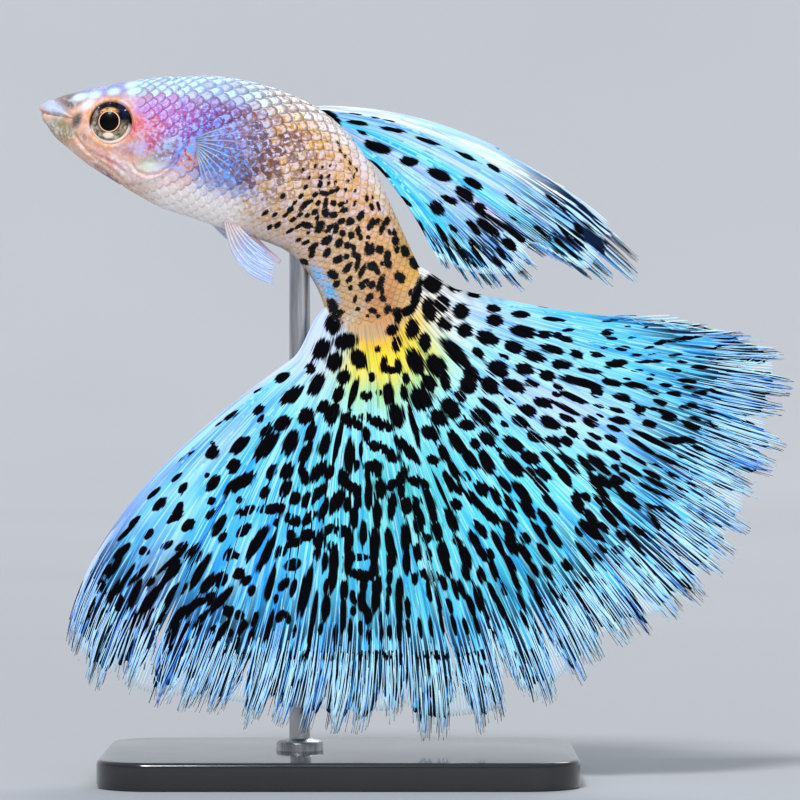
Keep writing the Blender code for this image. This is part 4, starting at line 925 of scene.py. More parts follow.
def side_recipe(x, z):
    """Grown spots of the tail fin: dashes along the rays at its hem, and none where spots are laid."""
    far, angle = about_fan(x, z)
    body = rise(z - FAN_CENTRE[1] - 0.9 * (x - FAN_CENTRE[0]), 0.5, 3.0)
    size = np.interp(far, *SIDE_GROWTH) * (1 - body)
    maze = bell(angle - 82, 34) * rise(far, 4, 9) * rise(far, 31, 21)
    lean = -0.42 + 0.3 * maze + 0.22 * rise(far, 17, 25) + 0.1 * rise(angle, 95, 110)
    laid = rise(z, 9.2, 9.9) * rise(far, 28.0, 26.5)
    near = rise(z, 7.5, 9.5) * rise(far, 31.0, 28.0)
    lean = lean * (1 - body) - 3.0 * np.maximum(body, laid) - 0.25 * near
    return -np.radians(angle * (1 - body) + 135 * body), size, lean


def dorsal_recipe(x, z):
    """Grown ovals along the back fin's rays, which seem to meet in one place."""
    dx = x - DORSAL_MEETING[0]
    lie = np.arctan2(z - DORSAL_MEETING[1], dx) - 0.012 * dx
    return lie, rise(x + (46 - z), 6, 18), -1.3 + 0.75 * rise(x + 1.5 * (42 - z), 13, 22)


def fan_ground(x, z):
    """Colour of the tail fin under its spots."""
    far, angle = about_fan(x, z)
    middle = np.exp(-((angle - 74) / 42) ** 4)
    return layered(
        ICE,
        (0.7 * rise(far, 8, 14), AQUA),
        (0.9 * rise(far, 6, 14) * rise(angle, 92, 112), SKY),
        (0.6 * rise(far, 17, 27), SKY),
        (0.5 * rise(far, 25, 33), AZURE),
        (0.75 * patch(x, z, (4.6, 19.5), (4.6, 5.2)), TEAL),
        (0.6 * patch(x, z, (-1.8, 21.5), (2.6, 4.0)), TEAL),
        (0.7 * patch(x, z, (12.0, 17.0), (4.0, 5.0)), AQUA),
        (0.8 * patch(x, z, (15.5, 27.0), (6.5, 2.8), -20), LAVENDER),
        (0.75 * patch(x, z, (10.5, 33.0), (6.0, 1.5), -14), LAVENDER),
        (0.75 * patch(x, z, (20.0, 31.5), (7.0, 1.8), -10), SKY),
        (0.5 * patch(x, z, (-8.5, 24.0), (4.0, 1.0), 42), LAVENDER),
        (0.8 * patch(x, z, (-1.4, 30.6), (2.2, 1.6), 40), LAVENDER),
        (0.5 * patch(x, z, (-13.5, 13.0), (1.6, 5.0), -12), LAVENDER),
        (0.5 * rise(far, 26, 33) * rise(angle, 50, 15), INDIGO),
        (0.35 * rise(far, 27, 33) * rise(angle, 100, 130), INDIGO),
        (0.9 * rise(far, 9.5, 5.0) * rise(angle, 60, 25), (0.93, 0.90, 0.88)),
        (0.9 * rise(far, 11.0, 4.5) * rise(angle, 98, 122), (0.80, 0.85, 0.96)),
        (0.9 * rise(far, 9.5, 6.5) * middle, LIME),
        (rise(far, 7.2, 4.8) * middle, YELLOW),
        (0.7 * rise(far, 4.4, 3.2) * middle, GOLD),
        (rise(far, 3.3, 2.6) * rise(angle, 150, 128) * rise(angle, -60, -40), TAN),
        (0.75 * patch(x, z, (3.1, 33.5), (1.5, 1.2)), (0.80, 0.50, 0.28)),
        (0.8 * patch(x, z, (5.5, 32.8), (1.0, 1.7), -30), (0.97, 0.78, 0.26)),
    )


PEARLS = ((-18.68, 49.01), (-17.67, 49.14), (-16.3, 49.39), (-14.9, 49.39), (-15.05, 49.86), (-13.54, 50.18),
          (-12.1, 49.3), (-12.0, 49.86), (-13.4, 49.5))


def pearls(x, z, colour):
    """Bright ovals in two rows along the crown."""
    for place in PEARLS:
        share = 0.9 * patch(x, z, place, (0.5, 0.26), 12, 4)[..., None]
        colour = colour * (1 - share) + linear((0.84, 0.95, 1.0)) * share
    return colour


def body_ground(x, z, s, c):
    """Colour of the body's skin; c is 1 on the back and -1 on the belly."""
    eye = np.hypot(x - EYE_SEEN[0], z - EYE_SEEN[1])
    rear = rise(s, 14.0, 19.0)
    colour = layered(
        PEACH,
        (rise(c, 0.0, -0.6) * rise(s, 7, 10), (0.99, 0.95, 0.93)),
        (0.75 * rise(c, 0.30, 0.9) * (1 - rear), (0.58, 0.50, 0.60)),
        (0.85 * rise(c, 0.55, 0.9) * rise(s, 9.0, 6.0) * rise(s, 1.5, 2.5), (0.56, 0.62, 0.88)),
        (patch(x, z, (-9.2, 45.9), (4.6, 3.3), -14, 4), (0.48, 0.40, 0.82)),
        (patch(x, z, (-8.2, 43.9), (3.8, 1.7), -20, 4), (0.20, 0.34, 0.74)),
        (0.85 * patch(x, z, (-6.2, 47.0), (2.2, 1.3), -30), MAROON),
        (0.8 * patch(x, z, (-3.6, 45.6), (2.2, 1.4), -50), MAROON),
        (0.6 * patch(x, z, (-4.4, 43.2), (1.8, 1.2), -40), (0.45, 0.26, 0.36)),
        (patch(x, z, (-12.9, 48.0), (2.4, 1.1), 0, 4), MAGENTA),
        (0.7 * patch(x, z, (-11.8, 46.9), (1.2, 1.3), 0, 3), (0.60, 0.36, 0.78)),
        (0.9 * patch(x, z, (-13.9, 47.0), (1.3, 0.9), -10, 3), ROSE),
        (0.85 * patch(x, z, (-13.5, 45.6), (1.1, 0.6), 25, 2), CRIMSON),
        (0.9 * patch(x, z, (-12.3, 45.6), (0.9, 0.6), 45, 3), (0.62, 0.74, 0.84)),
        (0.9 * patch(x, z, (-10.2, 44.7), (0.28, 0.6), 0, 4), (0.60, 0.58, 0.54)),
        (0.9 * patch(x, z, (-13.5, 44.4), (1.3, 0.62), 14, 4), (0.72, 0.68, 0.60)),
        (0.85 * patch(x, z, (-13.7, 44.05), (0.7, 0.28), 5, 3), (0.88, 0.95, 0.88)),
        (0.6 * patch(x, z, (-13.0, 44.75), (0.5, 0.25), 20, 3), BROWN),
        (0.8 * patch(x, z, (-13.4, 43.25), (2.1, 0.32), 4, 3), (0.93, 0.78, 0.79)),
        (0.9 * patch(x, z, (-10.95, 44.5), (0.62, 1.5), -20, 3), (0.92, 0.64, 0.55)),
        (0.6 * patch(x, z, (-12.0, 43.0), (1.6, 0.5), 15, 3), (0.93, 0.70, 0.60)),
        (0.8 * patch(x, z, (-15.5, 43.9), (0.8, 0.45), -20, 3), (0.90, 0.86, 0.90)),
        (0.7 * patch(x, z, (-16.6, 44.5), (1.4, 0.4), -33, 3), ROSE),
        (0.6 * patch(x, z, (-15.3, 45.2), (0.9, 0.5), -15, 3), (0.70, 0.48, 0.56)),
        (0.9 * patch(x, z, (-16.7, 43.35), (1.3, 0.2), -38, 3), (0.45, 0.13, 0.20)),
        (rear, TAN),
        (0.45 * rear * rise(c, -0.2, 0.7), ORANGE),
        (0.55 * rear * rise(c, 0.25, 0.7) * rise(s, 25, 20), GOLD),
        (0.9 * rear * rise(c, 0.74, 0.9) * rise(s, 26, 22), (0.96, 0.94, 0.90)),
        (0.7 * rear * rise(c, -0.72, -0.95) * rise(s, 24, 18), CREAM),
        (0.8 * patch(x, z, (3.3, 34.4), (1.3, 1.5)), RUST),
        (0.8 * patch(x, z, (5.2, 36.2), (0.8, 1.8), -25), GOLD),
        (0.6 * patch(x, z, (4.3, 38.8), (0.8, 2.6), 25), (0.72, 0.60, 0.30)),
        (0.8 * rise(c, -0.94, -0.985) * rise(s, 15.5, 18), OLIVE),
        (patch(x, z, (-1.15, 35.6), (1.7, 0.5), -54, 4), SKY),
        (0.75 * bell(eye - EYE_RADIUS - 0.1, 0.26), ORANGE),
        (0.9 * patch(x, z, (-14.80, 46.75), (0.28, 0.85), -26, 2), (0.84, 0.26, 0.16)),
        (0.9 * patch(x, z, (-19.4, 48.7), (1.1, 0.6), 25, 4), (0.44, 0.40, 0.37)),
        (patch(x, z, (-20.1, 46.75), (1.2, 0.9), -35, 4), OLIVE),
        (0.9 * patch(x, z, (-18.2, 48.45), (0.62, 0.28), 38, 3), PEARL),
        (0.9 * patch(x, z, (-18.75, 49.02), (0.55, 0.2), 15, 3), PEARL),
        (patch(x, z, (-20.75, 48.33), (1.15, 0.5), -24, 4), (0.72, 0.78, 0.90)),
        (0.95 * patch(x, z, (-18.95, 47.3), (0.34, 0.66), -24, 4), SMOKE),
        (0.5 * patch(x, z, (-18.4, 46.1), (0.24, 0.5), 35, 3), BROWN),
    )
    colour = pearls(x, z, colour)
    share = rise(s, 29.2, 31.0)[..., None]
    return colour * (1 - share) + fan_ground(x, z) * share


def body_net(x, z, s, c):
    """Colour between the scales."""
    return layered(
        (0.56, 0.42, 0.46),
        (patch(x, z, (-8.0, 45.2), (5.4, 4.0), -12, 4), (0.46, 0.19, 0.30)),
        (patch(x, z, (-12.6, 47.6), (2.6, 1.8), 0, 4), (0.70, 0.32, 0.52)),
        (0.8 * rise(c, 0.5, 0.8), (0.50, 0.56, 0.78)),
        (rise(c, -0.2, -0.6), (0.94, 0.84, 0.80)),
        (rise(s, 14.0, 17) * rise(c, -0.9, -0.6), (0.78, 0.53, 0.30)),
        (0.85 * rise(s, 13.0, 15) * rise(s, 22, 19) * rise(c, -0.2, 0.2), (0.50, 0.34, 0.37)),
    )


def body_glint(x, z, s, c):
    """Colour of the bright flecks: the scales' own iridescence, partly painted highlights."""
    return layered(
        (0.88, 0.92, 1.0),
        (patch(x, z, (-10.0, 46.0), (5.4, 4.0), -12, 4), (0.58, 0.66, 1.0)),
        (patch(x, z, (-8.2, 43.9), (4.0, 2.2), -20, 3), (0.36, 0.66, 1.0)),
        (patch(x, z, (-13.0, 47.0), (2.2, 2.0), 0, 4), (0.80, 0.76, 1.0)),
        (rise(c, -0.35, -0.7), (1.0, 0.98, 0.98)),
        (rise(s, 15, 18), (0.90, 0.82, 0.90)),
        (rise(s, 24, 28), (0.90, 0.70, 0.44)),
    )


def body_marks(x, z, s, c, spots):
    """Spots, black above 0, the strength of the flecks and how wide the net is round a scale."""
    black = spots(x, z) - BODY_TRIM
    black = black - 0.9 * rise(c, 0.15, 0.5) * rise(s, 26, 23) - 0.8 * rise(s, 19.0, 16.5)
    flecks = np.maximum(patch(x, z, (-9.0, 45.6), (5.4, 4.0), -12, 4),
                        0.55 * patch(x, z, (-12.3, 46.9), (2.2, 1.9), 0, 4))
    rear = 0.42 * rise(s, 13, 16) * (1 - 0.8 * rise(s, 24, 28)) + 0.35 * rise(s, 12.5, 14) * rise(s, 22, 19)
    flecks = np.maximum(flecks, np.maximum(0.3 * rise(c, -0.2, -0.6), rear))
    back = rise(c, 0.55, 0.80) * rise(s, 20, 17)
    net = (0.35 * rise(c, -0.5, 0.0) + 0.12 * rise(c, -0.7, -0.3)) * (1 - 0.6 * rise(s, 17, 22))
    return np.stack((black, flecks, np.maximum(net, 0.8 * back)), axis=-1)


def body_core(s, c):
    """How dark the middle of a scale is."""
    return 0.85 * rise(s, 13.0, 15.0) * rise(s, 20.5, 17.0) * rise(c, -0.62, -0.2) * rise(c, 0.70, 0.4)


def scale_ground(x, z, s, c, chance):
    """Colour of one scale: bright on the back, like the skin elsewhere."""
    back = rise(c, 0.62, 0.76) * rise(s, 2.5, 4.5) * rise(s, 21.0, 18.0)
    back = (back * (0.5 + 0.5 * (chance < 0.62 + 0.3 * rise(c, 0.75, 0.95))))[..., None]
    bright = layered((0.80, 0.95, 1.0), (rise(s, 13, 17), (0.98, 0.97, 0.92)),
                     (0.85 * rise(s, 15, 17) * rise(c, 0.85, 0.72), (0.98, 0.84, 0.36)))
    colour = body_ground(x, z, s, c)
    mixed = 0.3 * rise(s, 13.0, 16.0) * rise(s, 25.0, 20.0) * rise(c, -0.8, -0.4)
    for share, paint in ((chance > 0.68, (0.95, 0.86, 0.93)), (chance < 0.30, (0.96, 0.74, 0.38)),
                         (np.abs(chance - 0.5) < 0.07, (0.72, 0.50, 0.46))):
        share = (mixed * share)[..., None]
        colour = colour * (1 - share) + linear(paint) * share
    return colour * (1 - back) + bright * back


def flesh_material():
    """Skin and scales: ground, net, foil flecks partly painted as highlights, painted glints and black
    spots, from each point's values.
    """
    g = Graph("guppy_skin")
    solid = g.times(g.node("TexCoord").outputs["Object"], 1 / MM)
    ground = g.data("Ground")
    net = g.data("Net")
    glint = g.data("Glint")
    black, flecks, netted = g.parts(g.data("Marks"))
    along, across, chance = g.parts(g.data("Plate"))
    core = g.data("Core", "Fac")
    grain = g.noise(solid, 3.0, 3.0, flat=False)
    foil = g.noise(solid, 3.6, 4.0, flat=False)
    fine = g.noise(solid, 9.0, 3.0, flat=False)
    broad = g.noise(solid, 0.9, 3.0, flat=False)
    cells = g.voronoi(solid, 3.4, flat=False).outputs["Distance"]
    edge = g.math("SQRT", g.total(g.math("POWER", along, 2.0), g.math("POWER", across, 2.0)))
    dark = g.product(g.step(foil, 0.49, 0.35), g.total(0.1, g.product(flecks, 0.75)))
    colour = g.mix(dark, ground, net)
    # Foil flecks in the glint colour: the scales' own iridescence, partly painted highlights.
    strong = g.total(0.1, g.product(flecks, 0.85))
    light = g.product(g.step(foil, 0.48, 0.59), strong, g.step(edge, 1.1, 0.7))
    colour = g.mix(light, colour, glint)
    # Painted glints: near-white sparkles in the small cells of the flecked scales.
    painted_sparkle = g.product(g.step(cells, 0.30, 0.16), g.step(grain, 0.50, 0.56), flecks)
    colour = g.mix(painted_sparkle, colour, (0.84, 0.93, 1.0))
    pale = g.product(g.step(broad, 0.50, 0.66), 0.4)
    colour = g.mix(pale, colour, glint)
    bared = g.scaled(g.vector("SUBTRACT", g.data("Plate"), (0.4, 0.0, 0.0)), 1.25, 1.2, 0.0)
    middle = g.total(g.vector("LENGTH", bared), g.swing(foil, 3.4))
    middle = g.product(g.step(middle, 0.75, 0.5), g.step(chance, 0.30, 0.45), core)
    colour = g.mix(middle, colour, (0.34, 0.20, 0.22))
    edge = g.total(edge, g.swing(grain, 0.7))
    inner = g.less(1.0, g.product(netted, 0.5))
    rim = g.step(g.less(edge, inner), -0.1, 0.14)
    rim = g.product(rim, g.math("MINIMUM", 0.65, g.product(netted, 1.4)))
    colour = g.mix(rim, colour, net)
    ragged = g.total(black, g.total(0.2, g.swing(fine, 2.4)), g.swing(foil, 2.4))
    colour = g.mix(g.step(ragged, -0.8, 0.0, 0.6), colour, (0.42, 0.24, 0.16))
    colour = g.mix(g.step(ragged, -0.3, 0.3), colour, INK)
    g.bump(g.total(fine, foil), 0.03, 0.5)
    rough = g.total(0.32, g.product(fine, 0.25))
    return g.finish(colour, rough, Coat_Weight=0.08, Coat_Roughness=0.2, Subsurface_Weight=0.1,
                    Subsurface_Scale=0.0005, Specular_IOR_Level=0.14)


SKIN_SIDES = 256
HEAD_RINGS = 210
REAR_RINGS = 90
REAR_FROM = 12.5
MORPH_FROM = 24.0


def body_data(s, phi, points, spots):
    """The values that the skin's material reads, at every point of the skin."""
    x, z = side_view(points)
    c = np.cos(phi)
    return {"Ground": body_ground(x, z, s, c), "Net": body_net(x, z, s, c), "Glint": body_glint(x, z, s, c),
            "Marks": body_marks(x, z, s, c, spots), "Core": 0 * s}


def grid_faces(rows, columns, wide, closed=False):
    """Corners of the quads of a grid of points, wide points to a row; a closed one joins its last column."""
    i, j = np.meshgrid(np.arange(rows - 1), np.arange(columns), indexing="ij")
    i = i.ravel() * wide
    j = j.ravel()
    k = (j + 1) % wide if closed else j + 1
    return np.stack((i + j, i + k, i + wide + k, i + wide + j), -1)


def fan_caps(rows, columns, first, last):
    """Triangles that close both ends of a closed grid with the points first and last."""
    j = np.arange(columns)
    k = (j + 1) % columns
    end = (rows - 1) * columns
    return np.concatenate((np.stack((np.full_like(j, first), k, j), -1),
                           np.stack((np.full_like(j, last), end + j, end + k), -1)))


def build_skin(material, spots):
    """One closed skin from the snout to the tail fin's root."""
    shares = np.concatenate((np.linspace(0, REAR_FROM, HEAD_RINGS, endpoint=False),
                             np.linspace(REAR_FROM, TAIL_END, REAR_RINGS)))
    rows = len(shares)
    phi = math.pi + np.arange(SKIN_SIDES + 1) * TAU / SKIN_SIDES
    grid_s, grid_phi = np.meshgrid(shares, phi, indexing="ij")
    grid_s = grid_s + rise(grid_s, MORPH_FROM, TAIL_END) * (tail_cut(grid_phi) - TAIL_END)
    points, _ = flesh(grid_s, grid_phi)
    bake = np.stack((np.broadcast_to(np.linspace(0.01, 0.99, SKIN_SIDES + 1), grid_s.shape),
                     0.01 + 0.98 * grid_s / (TAIL_END + TAIL_BULGE)), axis=-1).reshape(-1, 2)
    snout = np.array((STATIONS[0, 0] + SNOUT_REACH[0], 0.0, STATIONS[0, 1] + SNOUT_REACH[1]))
    count = rows * SKIN_SIDES
    body = np.concatenate((points[:, :-1].reshape(-1, 3), snout[None], points[-1:, :-1].mean(axis=1)))
    j = np.arange(SKIN_SIDES)
    end = (rows - 1) * (SKIN_SIDES + 1)
    cap_corners = np.concatenate((np.stack((j, j + 1, j), -1),
                                  np.stack((end + j, end + j, end + j + 1), -1)))
    data = {key: np.concatenate((value[:, :-1].reshape(-1, *value.shape[2:]), value[0, :1], value[-1, :1]))
            for key, value in body_data(grid_s, grid_phi, points, spots).items()}
    data["Plate"] = np.zeros((count + 2, 3))
    faces = [grid_faces(rows, SKIN_SIDES, SKIN_SIDES, closed=True),
             fan_caps(rows, SKIN_SIDES, count, count + 1)]
    corners = [grid_faces(rows, SKIN_SIDES, SKIN_SIDES + 1), cap_corners]
    return new_piece("skin", body, faces, material, corners, {"OFBake": bake}, data)


SCALE_COLUMNS = 27
SCALE_FROM = 6.6
SCALE_TO = 31.0
SCALE_RIM = 14
SCALE_RINGS = (0.36, 0.70, 1.0)
SCALE_LIFT = (-0.04, 0.02)
SCALE_CROWN = 0.03
SCALE_THICKNESS = 0.03
SCALE_SEED = 5
SCALE_ARC_STEPS = 360
# Half a scale's size on the UV map, and the length of body that the map's height stands for
SCALE_ON_MAP = 0.0015
MAP_LENGTH = 32


def scale_shape():
    """One scale as places from -1 to 1 along and across, which of them lie below, and its triangles."""
    j = np.arange(SCALE_RIM)
    k = (j + 1) % SCALE_RIM
    ring = np.stack((np.cos(j * TAU / SCALE_RIM), np.sin(j * TAU / SCALE_RIM)), -1)
    top = np.concatenate((np.zeros((1, 2)), *(ring * share for share in SCALE_RINGS)))
    local = np.concatenate((top, np.zeros((1, 2)), ring))
    low = len(top)
    below = np.arange(len(local)) >= low
    faces = [np.stack((0 * j, 1 + j, 1 + k), -1), np.stack((low + 0 * j, low + 1 + k, low + 1 + j), -1)]
    starts = (*(1 + number * SCALE_RIM for number in range(len(SCALE_RINGS))), low + 1)
    for inner, outer in zip(starts[:-1], starts[1:]):
        faces.append(np.stack((inner + j, outer + j, outer + k), -1))
        faces.append(np.stack((inner + j, outer + k, inner + k), -1))
    return local, below, np.concatenate(faces)


def build_scales(material, spots):
    """Rows of overlapping scales that lie over the skin and fade out towards the belly and the tail."""
    rng = np.random.default_rng(SCALE_SEED)
    local, below, faces = scale_shape()
    a, b = local.T
    turns = np.linspace(-math.pi, math.pi, SCALE_ARC_STEPS + 1)
    rings = []
    s = SCALE_FROM
    odd = 0.0
    while s < SCALE_TO:
        ring, _ = flesh(np.full_like(turns, s), turns)
        arc = np.concatenate(((0,), np.linalg.norm(np.diff(ring, axis=0), axis=-1).cumsum()))
        pitch = arc[-1] / SCALE_COLUMNS
        middle = (np.arange(SCALE_COLUMNS) + odd) / SCALE_COLUMNS
        phi = np.interp(middle * arc[-1], arc, turns)
        c = np.cos(phi)
        crown = c > 0.12 + 0.5 * rise(s, 8.5, 6.5)
        kept = ((s > gill_cut(phi) + 0.35 * pitch) | crown) & (s < tail_cut(phi) - 0.9)
        middle = middle[kept, None]
        phi = phi[kept, None]
        chance = rng.random((len(phi), 1))
        fade = np.clip((tail_cut(phi) - s) / 3.5, 0, 1) * (1 - 0.86 * rise(np.cos(phi), -0.25, -0.6))
        fade = fade * (1 - 0.55 * rise(s, 18.0, 25.0))
        long = pitch * (0.64 + 0.05 * chance)
        here_s = s + a * long
        here_arc = middle * arc[-1] + b * pitch * (0.53 + 0.04 * chance)
        here_phi = np.interp(here_arc % arc[-1], arc, turns)
        lift = SCALE_LIFT[0] + (SCALE_LIFT[1] - SCALE_LIFT[0]) * (a + 1) / 2
        lift = (lift + SCALE_CROWN * (1 - b * b) * pitch - SCALE_THICKNESS * below) * fade
        points, _ = flesh(here_s, here_phi, proud=lift)
        centre, _ = flesh(s + 0 * phi, phi)
        x, z = side_view(centre)
        here_x, here_z = side_view(points)
        c = np.cos(phi)
        values = {
            "Point": points,
            "Ground": scale_ground(x, z, s + 0 * x, c, chance),
            "Net": body_net(x, z, s + 0 * x, c),
            "Glint": body_glint(x, z, s + 0 * x, c),
            "Marks": body_marks(here_x, here_z, here_s, np.cos(here_phi), spots),
            "Plate": np.stack(np.broadcast_arrays(a, b, chance), -1),
            "Core": body_core(s, c)[..., None],
            "Bake": np.stack(np.broadcast_arrays(
                middle + b * SCALE_ON_MAP, 0.01 + 0.98 * s / MAP_LENGTH + a * SCALE_ON_MAP), -1),
        }
        rings.append({
            key: np.broadcast_to(value, (*here_s.shape, value.shape[-1])).reshape(-1, value.shape[-1])
            for key, value in values.items()})
        s += pitch * 0.5
        odd = 0.5 - odd
    data = {key: np.concatenate([ring[key] for ring in rings]) for key in rings[0]}
    points = data.pop("Point")
    bake = data.pop("Bake")
    data["Core"] = data["Core"][:, 0]
    count = len(points) // len(a)
    every = (faces[None] + (np.arange(count) * len(a))[:, None, None]).reshape(-1, 3)
    return new_piece("scales", points, [every], material, None, {"OFBake": bake}, data)


def sheet_piece(name, point, span, columns, rows, edge, half, material, data):
    """Closed thin sheet along a fin's middle surface, over the span of its rays."""
    u = np.linspace(*span, columns + 1)
    w = np.linspace(0, 1, rows + 1)
    grid_w, grid_u = np.meshgrid(w, u, indexing="ij")
    grid_v = edge(grid_u) * grid_w
    middle, out, _ = fin_frame(point, grid_u, grid_v)
    thick = half(grid_u, grid_v)[..., None]
    faces = (middle + out * thick).reshape(-1, 3), (middle - out * thick).reshape(-1, 3)
    count = len(faces[0])
    wide = columns + 1
    quads = grid_faces(rows + 1, columns, wide)[:, ::-1]
    rim = np.concatenate((np.arange(rows) * wide, rows * wide + np.arange(columns),
                          np.arange(rows, 0, -1) * wide + columns, np.arange(columns, 0, -1)))
    after = np.roll(rim, -1)
    walls = np.stack((rim, rim + count, after + count, after), -1)
    wall_corners = np.stack((rim, rim + 2 * count, after + 2 * count, after), -1)
    across = (grid_u - span[0]) / (span[1] - span[0])
    bake = np.stack((0.01 + 0.47 * across, 0.01 + 0.97 * grid_w), -1).reshape(-1, 2)
    outside = bake + 0.003 * np.sign(bake - (0.245, 0.5))
    fan = np.tile(np.stack((grid_u, grid_v), -1).reshape(-1, 2), (3, 1))
    values = data(grid_u.ravel(), grid_v.ravel(), middle.reshape(-1, 3))
    shared = {key: np.concatenate((value, value)) for key, value in values.items()}
    shared["Ray"] = np.zeros(2 * count)
    return new_piece(name, np.concatenate(faces), [quads, quads[:, ::-1] + count, walls], material,
                     [quads, quads[:, ::-1] + count, wall_corners],
                     {"OFBake": np.concatenate((bake, bake + (0.5, 0), outside)), "Fan": fan}, shared)


def fin_frame(point, u, v, step=0.004):
    """Points of a fin's middle surface, the directions out of it and those along its rays."""
    middle = point(u, v)
    across = point(np.clip(u + step, 0, 1), v) - point(np.clip(u - step, 0, 1), v)
    along = point(u, v + step) - point(u, np.clip(v - step, 0, None))
    out = np.cross(unit(along), unit(across))
    aside = np.array((0.0, np.sign(out[..., 1].sum()), 0.0))
    return middle, unit(out + aside * 0.5), unit(along)


def tubes_piece(name, point, tracks, sides, material, data):
    """Joined thin tubes; tracks gives their u, v, radius, shift aside and brightness, a row to a tube."""
    u, v, radius, aside, bright = (np.concatenate(values) for values in zip(*tracks))
    count, rows = u.shape
    inside = np.clip(u, 0, 1)
    middle, out, along = fin_frame(point, inside, v)
    middle = middle + out * aside[..., None]
    flat = unit(np.cross(out, along))
    turn = np.arange(sides) * TAU / sides
    ring = (middle[:, :, None] + radius[:, :, None, None] * (np.cos(turn)[:, None] * out[:, :, None]
            + np.sin(turn)[:, None] * flat[:, :, None]))
    points = ring.reshape(-1, 3)
    first = (np.arange(count) * rows * sides)[:, None, None]
    walls = (grid_faces(rows, sides, sides, closed=True)[None] + first).reshape(-1, 4)
    ends = np.stack((np.arange(sides)[::-1], (rows - 1) * sides + np.arange(sides)))
    caps = (ends[None] + first).reshape(-1, sides)
    lane = ((np.arange(count) + 0.5) / count)[:, None, None] + 0.0012 * np.cos(turn)
    height = 0.01 + 0.93 * np.clip(v, 0, 1.05)[..., None] + 0 * turn
    bake = np.stack((0.003 + 0.994 * lane + 0 * height, height), -1).reshape(-1, 2)
    fan = np.repeat(np.stack((u, v), -1).reshape(-1, 2), sides, axis=0)
    values = data(np.repeat(inside.ravel(), sides), np.repeat(v.ravel(), sides), points)
    values["Ray"] = np.repeat(bright.ravel(), sides)
    return new_piece(name, points, [walls, caps], material, None, {"OFBake": bake, "Fan": fan}, values)


def branching_tracks(rays, levels, radii, rng, bright, rows=9, wander=0.25):
    """Rays that fork at each level, given by its start and end along the fin."""
    tracks = []
    for number, (start, end) in enumerate(levels):
        count = rays * 2 ** number
        place = (np.arange(count)[:, None] + 0.5) / count
        parent = place if number == 0 else (np.arange(count)[:, None] // 2 + 0.5) * 2 / count
        v = np.linspace(start, end, rows)[None] + 0 * place
        turn = rng.random((count, 1)) + v * rng.uniform(2, 3, (count, 1))
        u = parent + (place - parent) * rise(v, start, start + 0.6 * (end - start))
        u = u + wander / count * np.sin(TAU * turn) * rise(v, 0.02, 0.2)
        radius = np.linspace(radii[number], radii[number + 1], rows)[None] + 0 * place
        tracks.append((u, v, radius, 0 * v, bright + 0 * v))
    return tracks


class Tufts:
    """Bundles of filaments along a fin's edge, with clefts between them."""

    def __init__(self, count, reach, longest, cleft, spread, seed):
        rng = np.random.default_rng(seed)
        self.reach = reach
        self.count = count
        self.cleft = cleft * rng.random(count) ** 1.5
        self.middle = (np.arange(count) + 0.5 + rng.uniform(-0.3, 0.3, count)) / count
        self.top = longest - spread * rng.random(count)
        self.rough = rng.uniform(-1, 1, 16 * count)

    def nearest(self, u):
        place = np.searchsorted((self.middle[1:] + self.middle[:-1]) / 2, u)
        return place, np.clip(np.abs(u - self.middle[place]) * 2 * self.count, 0, 1.3)

    def membrane(self, u):
        """Where the membrane ends along each ray."""
        place, off = self.nearest(u)
        rough = np.interp(np.clip(u, 0, 1) * (len(self.rough) - 1), np.arange(len(self.rough)), self.rough)
        return self.top[place] * self.reach - self.cleft[place] * off ** 4 + 0.015 * rough

    def filaments(self, count, start, radius, rng, rows=11, layers=0.1, gather=0.35):
        """Tracks of the fine filaments, gathered towards the tips of their bundles."""
        own = (np.arange(count)[:, None] + rng.random((count, 1))) / count
        place, off = self.nearest(own)
        last = self.top[place] - self.cleft[place] * off ** 3 - 0.05 * rng.random((count, 1)) ** 1.5
        first = start - 0.2 * rng.random((count, 1))
        share = np.linspace(0, 1, rows)[None]
        v = first + (last - first) * share
        pull = (self.middle[place] - own) * gather
        u = own + pull * share ** 1.6 + 0.15 / self.count * share * rng.uniform(-1, 1, (count, 1))
        bright = np.maximum(0.02, rng.random((count, 1)) ** 1.5)
        thin = radius * (0.5 + bright) * (1 - 0.6 * share ** 2)
        aside = layers * (rng.uniform(-0.5, 0.5, (count, 1)) + bright) * share
        return u, v, thin, aside, bright + 0 * v


